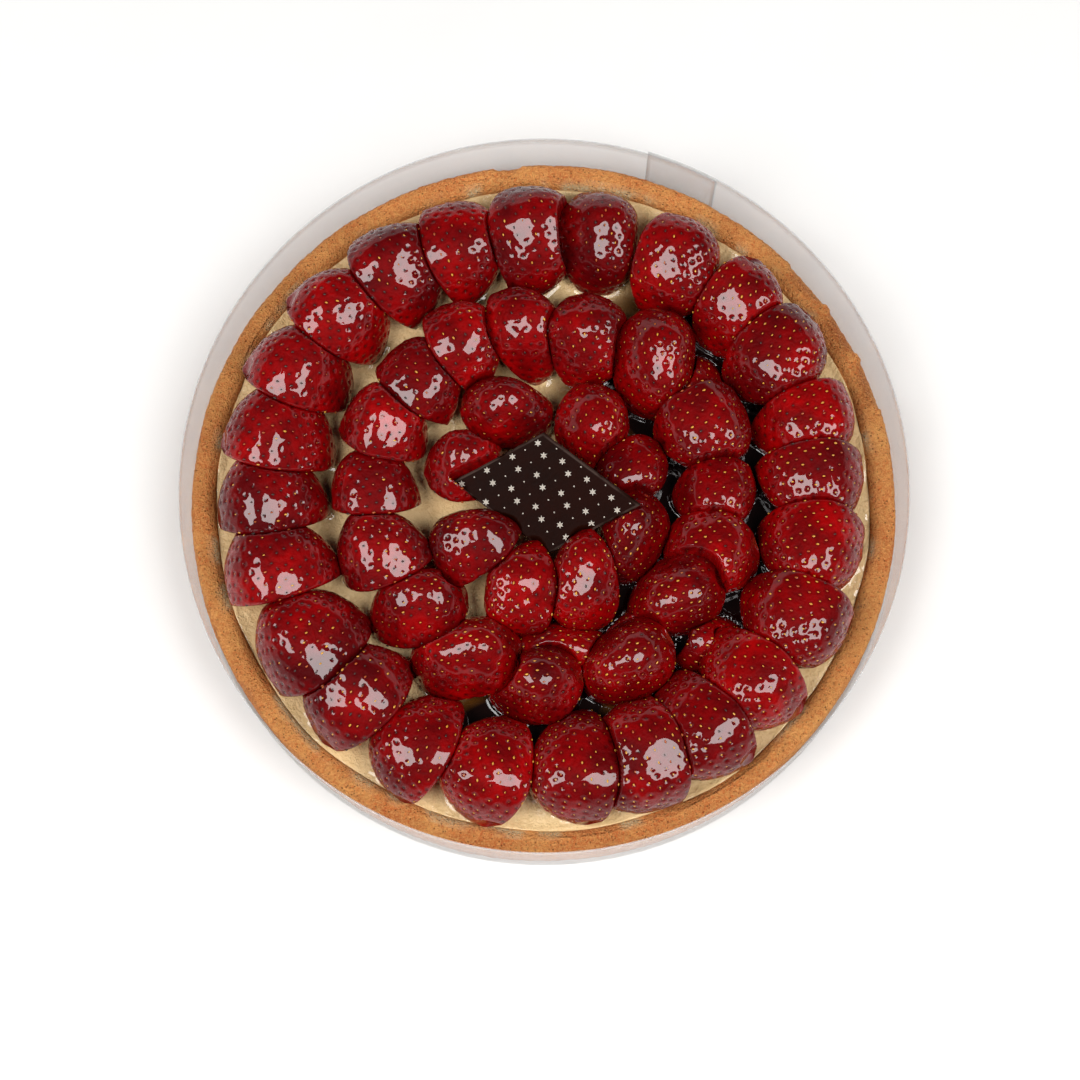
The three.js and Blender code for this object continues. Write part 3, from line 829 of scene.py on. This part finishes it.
def berry_section(berry):
    """Places along the length and outline shares at even steps: out of the dimple, then to the tip."""
    share = 0.5 - 0.5 * np.cos(np.linspace(0, np.pi, OUTLINE_STEPS))
    along = (share - 0.5) * berry.length
    outline = berry_outline(share)
    hull = np.linspace(0, 1, DIMPLE_STEPS)[:-1]
    along = np.concatenate([-berry.length / 2 + HULL_DIMPLE * (1 - hull ** 2), along])
    outline = np.concatenate([hull * outline[0], outline])
    kernel = np.hanning(SOFTENING)
    kernel /= kernel.sum()
    ends = SOFTENING // 2
    soft = np.pad(along, ends, mode="edge"), np.pad(outline, ends, mode="reflect", reflect_type="odd")
    softened = [np.convolve(line, kernel, mode="valid") for line in soft]
    shoulder = 1 - smoothstep(np.arange(len(along)), *SHOULDER_STEPS)
    along += (softened[0] - along) * shoulder
    outline = np.clip(outline + (softened[1] - outline) * shoulder, 0, None)
    step = np.hypot(np.diff(along), np.diff(outline) * berry.width / 2)
    arc = np.concatenate([[0], np.cumsum(step)])
    wanted = np.linspace(0, arc[-1], int(arc[-1] / SKIN_STEP))
    return np.interp(wanted, arc, along), np.interp(wanted, arc, outline)


def seed_places(berry):
    """Seeds sit in even spirals over the skin: places along, outline shares and angles round."""
    along, outline = berry_section(berry)
    band = np.hypot(np.diff(along), np.diff(outline) * berry.width / 2) * outline[1:]
    area = np.concatenate([[0], np.cumsum(band)]) * FULL_TURN * berry.width / 2
    count = int(area[-1] / SEED_SPACING ** 2 * SEED_CROWDING)
    draw = berry.random_from(STRAY_START)
    strayed = np.array([[draw() - 0.5, draw() - 0.5] for _ in range(count)])
    at = np.clip((np.arange(count) + 0.5 + strayed[:, 0] * STRAY_ALONG) / count, 0, 1) * area[-1]
    place_along = np.interp(at, area, along)
    place_outline = np.interp(at, area, outline)
    golden_angle = math.pi * (3 - math.sqrt(5))
    stray_round = strayed[:, 1] * STRAY_ROUND / np.maximum(place_outline * berry.width / 2, 2)
    around = (np.arange(count) * golden_angle + berry.lobes[0] + stray_round) % FULL_TURN
    on_skin = (around > SEED_EDGE) & (around < np.pi - SEED_EDGE)
    past_hull = (place_outline > 0.1) & (at > area[-1] * 0.03)
    kept = on_skin & past_hull
    return place_along[kept], place_outline[kept], around[kept]


def skin_relief(berry, local):
    """Uneven swellings of the glazed skin at local points, and how far glaze fills the pits there:
    almost level on top, and hardly at all on the flanks, where it has run off."""
    laid = berry.placed(local)
    uneven = (0.26 * cloud(laid, size=8, seed=61) + 0.14 * cloud(laid, size=4, seed=63)
              + 0.05 * clouds(laid, size=1.8, seed=66, layers=2))
    wrinkled = 0.1 * cloud(local * [1.0, 0.5, 0.5], size=1.1, seed=69)
    shoulder = 1 - smoothstep(local[:, 0], -0.4 * berry.length, -0.1 * berry.length)
    out = local / np.array([berry.length, berry.width, berry.width]) ** 2
    upward = (out @ berry.turning[2]) / np.linalg.norm(out, axis=1)
    filled = FULL_PIT * smoothstep(upward + 0.12 * clouds(laid, size=9, seed=57), *LEVEL_SKIN)
    return uneven + wrinkled * np.maximum(shoulder, 0.8 * (1 - filled)), filled


def worn_edge(grid):
    """The skin's edge rolls in to the cut face instead of meeting it at a sharp corner, and never
    further than half way to the middle."""
    low = np.clip(EDGE_ROLL - grid[..., 2], 0, EDGE_ROLL)
    pull = EDGE_ROLL - np.sqrt(EDGE_ROLL ** 2 - low ** 2)
    middle = (grid[:, :1, 1] + grid[:, -1:, 1]) / 2
    half = np.maximum(np.abs(grid[..., 1] - middle), TINY)
    share = 1 - np.minimum(pull, half / 2) / half
    rolled = grid.copy()
    rolled[..., 1] = middle + (grid[..., 1] - middle) * share
    return rolled


def berry_skin(berry):
    """Local points of the half berry in closed loops, how deep in a pit each is from 0 to 1, and how
    many points of a loop are skin. The rest are the cut face."""
    along, outline = berry_section(berry)
    steps = int(np.pi * berry.width / 2 / SKIN_STEP)
    around = np.linspace(0, np.pi, steps + 1)
    grid = worn_edge(berry.skin_points(along[:, None], outline[:, None], around[None, :]))
    normal = np.cross(np.gradient(grid, axis=1), np.gradient(grid, axis=0))
    normal /= np.maximum(np.linalg.norm(normal, axis=2, keepdims=True), TINIEST)
    normal *= np.sign((normal * (grid - CORE)).sum(axis=2).mean())
    seeds = berry.skin_points(*seed_places(berry))
    flat = grid.reshape(-1, 3)
    pit = np.zeros(len(flat))
    seeds_at_a_time = 60
    for start in range(0, len(seeds), seeds_at_a_time):
        apart = np.linalg.norm(flat[:, None] - seeds[None, start:start + seeds_at_a_time], axis=2)
        pit = np.maximum(pit, np.exp(-(apart / PIT_RADIUS * PIT_STEEPNESS) ** 2).max(axis=1))
    pit = pit.reshape(grid.shape[:2])
    relief, filled = (values.reshape(grid.shape[:2]) for values in skin_relief(berry, flat))
    depth = PIT_DEPTH * (1 - filled) * pit
    fade = smoothstep(outline, 0.0, 0.25)[:, None] * np.sin(around)[None, :] ** 0.3
    grid = grid + normal * ((relief - depth) * fade)[..., None]

    share = np.linspace(0, 1, CUT_FACE_STEPS + 2)[1:-1]
    chord = grid[:, -1, None] + share[None, :, None] * (grid[:, None, 0] - grid[:, -1, None])
    loops = np.concatenate([grid, chord], axis=1)
    # The pit shares go on to the skin mask, where they paint shade in the pits.
    pits = np.concatenate([pit, np.zeros(chord.shape[:2])], axis=1)
    return loops, pits, steps + 1


def make_berry(berry, berries, finish):
    loops, pits, on_skin = berry_skin(berry)
    rows, around = loops.shape[:2]
    is_skin = np.tile(np.arange(around) < on_skin, rows)
    points = berry.placed(loops.reshape(-1, 3))
    skin = settled(points, berry, berries, GAP / 2)
    under = settled(points, berry, berries, GAP * 2)
    points = np.where(is_skin[:, None], skin, under)
    points[:, 2] = np.maximum(points[:, 2], CREAM_LEVEL - SUNK)
    inner = points[around:-around]
    hull = points[:around].mean(axis=0)
    tip = points[-around:].mean(axis=0)
    points = np.vstack([inner, hull, tip])
    # Wound this way, a berry's faces look inward.
    faces = closed_faces(rows - 2, around)

    draw = berry.random_from(RIPENESS_START)
    ripe = 0.15 + 0.55 * draw()
    share = np.repeat(np.linspace(0, 1, rows), around)[around:-around]
    cut = ~is_skin[around:-around]
    low = 1 - smoothstep(inner[:, 2], CREAM_LEVEL + 1.0, CREAM_LEVEL + 3.5)
    flesh = np.where(cut, 1.0, low * (1 - smoothstep(share, 0.03, 0.2)))
    tone = np.clip(ripe + 0.4 * clouds(inner, size=12, seed=71), 0, 1)
    # The second channel is painted shade in the pits.
    masks = np.stack([tone, pits.reshape(-1)[around:-around], flesh], axis=1)
    masks = np.vstack([masks, [[ripe, 0, 1], [ripe, 0, 0]]])
    return make_piece(
        f"straw{berry.node}", points, faces, finish, (berry.node,), masks={"skin": masks})


def seed_shape():
    """A small teardrop along x, pointed forward: points and faces."""
    rings = ((-0.62, 0.75), (0.05, 1.0), (0.62, 0.55))
    sides = 5
    angle = np.arange(sides) / sides * FULL_TURN
    points = [[-1, 0, 0]]
    for x, size in rings:
        points += [[x, size * math.cos(a), size * math.sin(a)] for a in angle]
    points.append([1.1, 0, 0])
    faces = fan_faces(0, range(1, 1 + sides), flipped=True)
    faces += tube_faces(len(rings), sides, start=1)
    last = len(points) - 1
    faces += fan_faces(last, range(last - sides, last))
    return np.array(points) * SEED_SIZE, faces


def seed_kinds(berry, draw):
    """Seed colours with the chance below which each is taken: painted shade makes them darker towards the
    tart's left.
    """
    # Painted light and shade: gold seeds are likelier towards the right and front, dark ones towards the
    # left; the rest is chance.
    painted_light_share = smoothstep(berry.centre[0] - 0.6 * berry.centre[1], -70, 60)
    gold = 0.1 + 0.5 * painted_light_share + 0.15 * (draw() - 0.5)
    return {"gold": gold, "russet": gold + 0.3, "dark": 1.0}


def make_seeds(berries, finishes):
    """Every seed that shows, in one joined mesh for each colour."""
    shape, shape_faces = seed_shape()
    made = {kind: ([], []) for kind in finishes}
    for berry in berries:
        draw = berry.random_from(SEED_KIND_START)
        along, outline, around = seed_places(berry)
        base = berry.skin_points(along, outline, around)
        further = along + 0.3
        ahead = berry.skin_points(further, berry_outline(further / berry.length + 0.5), around)
        beside = berry.skin_points(along, outline, around + 0.03)
        forward = ahead - base
        forward /= np.linalg.norm(forward, axis=1, keepdims=True)
        normal = np.cross(forward, beside - base)
        normal /= np.linalg.norm(normal, axis=1, keepdims=True)
        normal *= np.sign((normal * (base - [0, 0, -1])).sum(axis=1))[:, None]
        side = np.cross(normal, forward)
        relief, filled = skin_relief(berry, base)
        level = relief - PIT_DEPTH * (1 - filled) * SEED_DROP
        surface = berry.placed(base)
        moved = np.linalg.norm(settled(surface, berry, berries, GAP / 2) - surface, axis=1)
        shows = (moved < SEED_COVERED) & (surface[:, 2] > CREAM_LEVEL + SEED_CLEAR)
        kinds = seed_kinds(berry, draw)
        for i in np.flatnonzero(shows):
            chance = draw()
            kind = next(name for name, limit in kinds.items() if chance < limit)
            size = 0.7 + 0.5 * draw()
            turning = np.stack([forward[i], side[i], normal[i]], axis=1)
            local = shape * size @ turning.T + base[i] + normal[i] * level[i]
            points, faces = made[kind]
            first = len(points) * len(shape)
            points.append(berry.placed(local))
            faces += [tuple(first + corner for corner in face) for face in shape_faces]
    for kind, (points, faces) in made.items():
        make_piece(f"{kind}_seeds", np.concatenate(points), faces, finishes[kind])


# ---- cream and pooled glaze --------------------------------------------------------------

CREAM_WALL_GAP = 0.12
CREAM_LIP = 0.7                   # how high the cream is pushed up at a berry's foot
CREAM_LIP_REACH = 1.1
CLIMB_BAND = 3.2                  # how near the wall the cream rises or dips
GLAZE_DEPTH = 1.9
MENISCUS = 0.8                    # how high the glaze climbs at a berry's foot
MENISCUS_REACH = 0.45


def cream_grid(rings, around, reach):
    """Rings of points out to a reach, each band of about the same area, and the angle of each point."""
    angle = np.arange(around) / around * FULL_TURN
    share = np.sqrt(np.linspace(0.0002, 1, rings))
    radius = share[:, None] * (reach(angle)[None, :])
    points = np.stack([radius * np.cos(angle), radius * np.sin(angle), 0 * radius], axis=2)
    return points.reshape(-1, 3), np.tile(angle, rings)


def near_berries(points, foot_points):
    """Distance of each point to the nearest berry's foot, seen straight down."""
    tree = KDTree(len(foot_points))
    for i, (x, y) in enumerate(foot_points):
        tree.insert((x, y, 0), i)
    tree.balance()
    return np.array([tree.find((x, y, 0))[2] for x, y in points[:, :2]])


def make_cream(finish, foot_points):
    around, rings = 640, 150
    points, angle = cream_grid(rings, around, lambda a: inner_radius(a) - CREAM_WALL_GAP)
    radius = np.hypot(points[:, 0], points[:, 1])
    apart = near_berries(points, foot_points)
    ripple = 0.28 * clouds(points, size=13, seed=81) + 0.1 * clouds(points, size=4, seed=86)
    lip = CREAM_LIP * np.exp(-apart / CREAM_LIP_REACH)
    to_wall = inner_radius(angle) - radius
    climb = smoothstep(CLIMB_BAND - to_wall, 0, CLIMB_BAND)
    climb *= 0.6 + 1.2 * clouds(points, size=11, seed=90)
    points[:, 2] = CREAM_LEVEL - 0.25 + ripple + lip + np.clip(climb, -0.5, 2.2)
    # Painted shade: the amber staining leans towards the right; the rest of it is real glaze that has
    # run.
    shade_towards_right = np.cos(angle + 0.6)
    stain_and_shade = smoothstep(clouds(points, size=16, seed=95) + 0.35 * shade_towards_right, 0.15, 0.9)
    stain_and_shade *= smoothstep(radius, 104, 92)

    last = points[-around:].copy()
    wall = [last.copy() for _ in range(3)]
    for row, height in zip(wall, (CREAM_LEVEL - 4, (CREAM_LEVEL + CRUST_FLOOR) / 2, CRUST_FLOOR + GAP)):
        row[:, 2] = height
    top = [0, 0, points[:around, 2].mean()]
    bottom = [0, 0, CRUST_FLOOR + GAP]
    all_points = np.vstack([points, *wall, top, bottom])
    faces = closed_faces(rings + len(wall), around)
    masks = np.zeros((len(all_points), 1))
    masks[: len(points), 0] = stain_and_shade
    make_piece("pastry_cream", all_points, faces, finish, ("cream",), masks={"stain_and_shade": masks})


def make_glaze(finish, foot_points):
    """Glaze that has run together between the berries, level and climbing a little at each of them:
    deep and near black on the right, partly as painted shade, and none on the left."""
    around, rings = 900, 190
    points, angle = cream_grid(rings, around, lambda a: np.full_like(a, GLAZE_REACH))
    radius = np.hypot(points[:, 0], points[:, 1])
    apart = near_berries(points, foot_points)
    # Painted shade in part: the glaze is made deep, and so near black, on the right.
    side = 0.5 + 0.5 * np.cos(angle + 0.35)
    level = GLAZE_DEPTH * smoothstep(side * smoothstep(radius, 8, 50), 0.25, 0.75)
    level -= 2.5 * smoothstep(radius, GLAZE_REACH - 16, GLAZE_REACH - 4)
    bed = 0.25 + 0.75 * clouds(points, size=15, seed=110, layers=2)
    depth = np.clip(level - bed, 0, 3)
    meniscus = MENISCUS * np.exp(-apart / MENISCUS_REACH) * smoothstep(depth, 0, 0.5)
    points[:, 2] = CREAM_LEVEL + 0.2 + np.maximum(level, 0) + meniscus
    shown = depth > 0.01
    faces = [face for face in tube_faces(rings, around, flipped=True) if shown[list(face)].any()]
    used = np.unique(np.array(faces))
    renumbered = np.full(len(points), -1)
    renumbered[used] = np.arange(len(used))
    faces = [tuple(int(renumbered[corner]) for corner in face) for face in faces]
    masks = smoothstep(depth[used], 0.0, 2.0)[:, None]
    make_piece("pooled_glaze", points[used], faces, finish, masks={"depth": masks})


# ---- plaque ------------------------------------------------------------------------------

PRINT_COLUMNS = 7
PRINT_LINES = 8
PRINT_LIFT = 0.05                 # above the plaque's face
LEAF = ((0.0, 0.0), (0.55, 0.28), (1.25, 0.0), (0.55, -0.28))
LEAF_ANGLES = (25, 85, 145, 205, 265, 325)
DOT_RADIUS = 0.26
DOT_SIDES = 6


def make_plaque(finish, berries):
    """A slab with softened, slightly ragged edges, in closed loops from its face to its back."""
    corners = plaque_corners()
    count = 60
    outline = np.concatenate([
        a + np.linspace(0, 1, count, endpoint=False)[:, None] * (b - a)
        for a, b in zip(corners, np.roll(corners, -1, axis=0))])
    around = len(outline)
    centre = outline.mean(axis=0)
    # Each loop's size as a share of the outline, and its height below the face.
    sections = [(share, 0.0) for share in np.linspace(0.03, 0.97, 34)]
    sections += [(1 - PLAQUE_BEVEL / 17, 0.0), (1 - PLAQUE_BEVEL / 50, -PLAQUE_BEVEL * 0.4)]
    sections += [(1.0, -PLAQUE_BEVEL)]
    sections += [(1.0, -PLAQUE_THICKNESS * share) for share in (0.35, 0.6, 0.87)]
    sections += [(share, -PLAQUE_THICKNESS) for share in (1 - PLAQUE_BEVEL / 25, 0.6, 0.1)]
    rows = []
    for share, height in sections:
        ring = centre + share * (outline - centre)
        rows.append(np.column_stack([ring, np.full(around, height)]))
    local = np.concatenate(rows)
    edge = np.repeat([share > 0.965 for share, _ in sections], around)
    ragged = 0.22 * (clouds(local + [0, 0, 40], size=2.6, seed=120) - 0.9)
    away = local[:, :2] - centre
    away /= np.maximum(np.linalg.norm(away, axis=1, keepdims=True), TINY)
    local[:, :2] += away * (ragged * edge)[:, None]
    points = local @ PLAQUE_TURNING.T + np.array(PLAQUE_CENTRE)
    back = np.repeat([height < 0.1 - PLAQUE_THICKNESS for _, height in sections], around)
    for berry in berries:
        if berry.over_plaque:
            face_side = pressed_under(points, berry, GAP / 2)
            back_side = pressed_under(points, berry, GAP * 2)
            points = np.where(back[:, None], back_side, face_side)
    points = np.vstack([points, points[:around].mean(axis=0), points[-around:].mean(axis=0)])
    faces = closed_faces(len(sections), around)
    # The lighter edges carry real scraping and a painted reflection.
    worn = np.where(edge, 0.75, 0.0) * smoothstep(clouds(local, size=5, seed=130), -0.9, 0.5)
    masks = np.append(worn, [0, 0])[:, None]
    make_piece("chocolate_plaque", points, faces, finish, ("plaque",), masks={"worn": masks})


def make_print(finish, berries):
    """Rows of little sprigs printed on the plaque's face: rosettes of leaves between dots."""
    corners = plaque_corners()
    one, other = corners[3] - corners[0], corners[1] - corners[0]
    turns = np.arange(DOT_SIDES) / DOT_SIDES * FULL_TURN
    dot = [(DOT_RADIUS * math.cos(turn), DOT_RADIUS * math.sin(turn)) for turn in turns]
    marks = []
    for line in range(PRINT_LINES):
        for column in range(PRINT_COLUMNS):
            shift = 0.5 if line % 2 else 0.0
            u = (column + 0.35 + shift) / (PRINT_COLUMNS + 0.2)
            v = (line + 0.5) / PRINT_LINES
            if u > 0.96:
                continue
            at = corners[0] + u * one + v * other
            if (line + column) % 2:
                marks.append((at, 0, dot))
            else:
                marks += [(at, angle, LEAF) for angle in LEAF_ANGLES]
    points, faces = [], []
    for at, angle, outline in marks:
        turn = math.radians(angle)
        spin = np.array([[math.cos(turn), -math.sin(turn)], [math.sin(turn), math.cos(turn)]])
        ring = np.array(outline) @ spin.T + at
        first = len(points)
        points += [[x, y, PRINT_LIFT] for x, y in ring]
        faces.append(tuple(range(first, first + len(ring))))
    placed = np.array(points) @ PLAQUE_TURNING.T + np.array(PLAQUE_CENTRE)
    lowered = placed
    for berry in berries:
        if berry.over_plaque:
            lowered = pressed_under(lowered, berry, GAP / 2)
    # A mark is left off where a berry covers it.
    kept = [face for face in faces if np.abs(lowered[list(face)] - placed[list(face)]).max() < 0.02]
    make_piece("plaque_print", placed, kept, finish, smooth=False)


# ---- film collar -------------------------------------------------------------------------

COLLAR_STEPS = 496
COLLAR_CUT = 0.3                  # how far its cut edges show


def make_collar(finish):
    """One long strip of film wound round the crust, its outer end lapping over its inner end."""
    turn = 360 + COLLAR_LAP
    heights = (0.0, COLLAR_CUT, 12, 24, 36, 44, COLLAR_HEIGHT - COLLAR_CUT, COLLAR_HEIGHT)
    share = np.linspace(0, 1, COLLAR_STEPS + 1)
    angle = np.radians(COLLAR_END_BEARING - COLLAR_LAP + share * turn)
    radius = CRUST_RADIUS + GAP + share * (COLLAR_FILM + GAP) * turn / 360
    film = COLLAR_FILM - 0.05
    section = [(0.0, h) for h in heights] + [(film, h) for h in reversed(heights)]
    points = []
    for offset, height in section:
        out = radius + offset
        level = np.full(COLLAR_STEPS + 1, height)
        points.append(np.column_stack([out * np.cos(angle), out * np.sin(angle), level]))
    loops = np.stack(points, axis=1)
    around = len(section)
    points = loops.reshape(-1, 3)
    faces = tube_faces(COLLAR_STEPS + 1, around)
    # The film's two cut ends; their faces look inward.
    for start, flipped in ((0, False), (COLLAR_STEPS * around, True)):
        for j in range(around // 2 - 1):
            face = (start + j, start + j + 1, start + around - 2 - j, start + around - 1 - j)
            faces.append(face[::-1] if flipped else face)
    # Rows at the film's cut edges, which get the painted highlight.
    edge_highlight = [not COLLAR_CUT < height < COLLAR_HEIGHT - COLLAR_CUT for _, height in section]
    edge = np.tile(np.array(edge_highlight, float), COLLAR_STEPS + 1)
    edge[:around] = edge[-around:] = 1
    masks = edge[:, None]
    make_piece("film_collar", points, faces, finish, ("collar",), masks={"edge": masks})


# ---- light, floor and camera -------------------------------------------------------------

# Lengths are metres here, where nothing else is said.
FLOOR_SIDE = 8.0

SOFTBOX_SIDE = 0.74
SOFTBOX_LEAN = 27                 # degrees from straight overhead
SOFTBOX_TOWARDS_FRONT = 12        # degrees
SOFTBOX_DISTANCE = 1.5
SOFTBOX_WATTS = 17.5

ROOM_COLOUR = (1.0, 0.975, 0.98, 1)

AIM = (-1.4, -8.0, 0.0)           # millimetres
CAMERA_ELEVATION = 79             # degrees
CAMERA_DISTANCE = 0.95
IMAGE_SIDE = 1080                 # pixels
LENS_PIXELS = 2750                # the lens's length, in the image's pixels
SENSOR = 36                       # millimetres, the camera's own


def make_studio():
    scene = bpy.context.scene
    scene.view_settings.view_transform = "Standard"
    half = FLOOR_SIDE / 2
    corners = [(-half, -half, 0), (half, -half, 0), (half, half, 0), (-half, half, 0)]
    mesh = bpy.data.meshes.new("floor")
    mesh.from_pydata(corners, [], [(0, 1, 2, 3)])
    mesh.materials.append(floor_finish())
    floor = bpy.data.objects.new("floor", mesh)
    scene.collection.objects.link(floor)

    for side in (-1, 1):
        light = bpy.data.lights.new("softbox", "AREA")
        light.shape, light.size, light.energy = "SQUARE", SOFTBOX_SIDE, SOFTBOX_WATTS
        softbox = bpy.data.objects.new("softbox", light)
        lean = math.radians(side * SOFTBOX_LEAN)
        away = Vector((math.sin(lean), -math.tan(math.radians(SOFTBOX_TOWARDS_FRONT)), math.cos(lean)))
        softbox.location = away.normalized() * SOFTBOX_DISTANCE
        softbox.rotation_euler = Vector(softbox.location).to_track_quat("Z", "Y").to_euler()
        scene.collection.objects.link(softbox)

    world = bpy.data.worlds.new("pale_room")
    scene.world = world
    world.use_nodes = True
    tree = world.node_tree
    background = tree.nodes["Background"]
    place = add(tree, "ShaderNodeTexCoord").outputs["Generated"]
    height = add(tree, "ShaderNodeSeparateXYZ", {"Vector": place}).outputs["Z"]
    brightness = stretch(tree, height, low=0.24, high=0.34, out_low=0.75, out_high=0.02)
    feed(tree, background, {"Color": ROOM_COLOUR, "Strength": brightness})

    lens = bpy.data.cameras.new("camera")
    lens.lens = LENS_PIXELS / IMAGE_SIDE * SENSOR
    camera = bpy.data.objects.new("camera", lens)
    elevation = math.radians(CAMERA_ELEVATION)
    back = Vector((0, -math.cos(elevation), math.sin(elevation)))
    camera.location = Vector(AIM) * MM + back * CAMERA_DISTANCE
    camera.rotation_euler = (-back).to_track_quat("-Z", "Y").to_euler()
    scene.collection.objects.link(camera)
    scene.camera = camera


# ---- the tart ----------------------------------------------------------------------------

FOOT_BAND = 2.0                   # how high above the cream a berry's foot is counted


def lay_berries():
    berries = []
    for ring in RINGS:
        draw = seeded_random(ring["seed"])
        berries += [Berry(ring, index, row, draw) for index, row in enumerate(ring["berries"])]
    return berries


make_studio()
berries = lay_berries()
strawberry = strawberry_finish()
feet = []
for berry in berries:
    piece = make_berry(berry, berries, strawberry)
    places = np.empty(len(piece.data.vertices) * 3)
    piece.data.vertices.foreach_get("co", places)
    places = places.reshape(-1, 3) / MM - CENTRE
    feet.append(places[places[:, 2] < CREAM_LEVEL + FOOT_BAND, :2])
foot_points = np.concatenate(feet)[::3]

make_seeds(berries, {
    "gold": seed_finish("gold_seed", srgb(176, 108, 20), srgb(232, 172, 58)),
    "russet": seed_finish("russet_seed", srgb(140, 44, 8), srgb(190, 96, 22)),
    "dark": seed_finish("dark_seed", srgb(30, 6, 4), srgb(62, 26, 10)),
})
make_crust(shortcrust_finish())
make_cream(cream_finish(), foot_points)
make_glaze(glaze_finish(), foot_points)
make_plaque(chocolate_finish(), berries)
make_print(print_finish(), berries)
make_collar(film_finish())
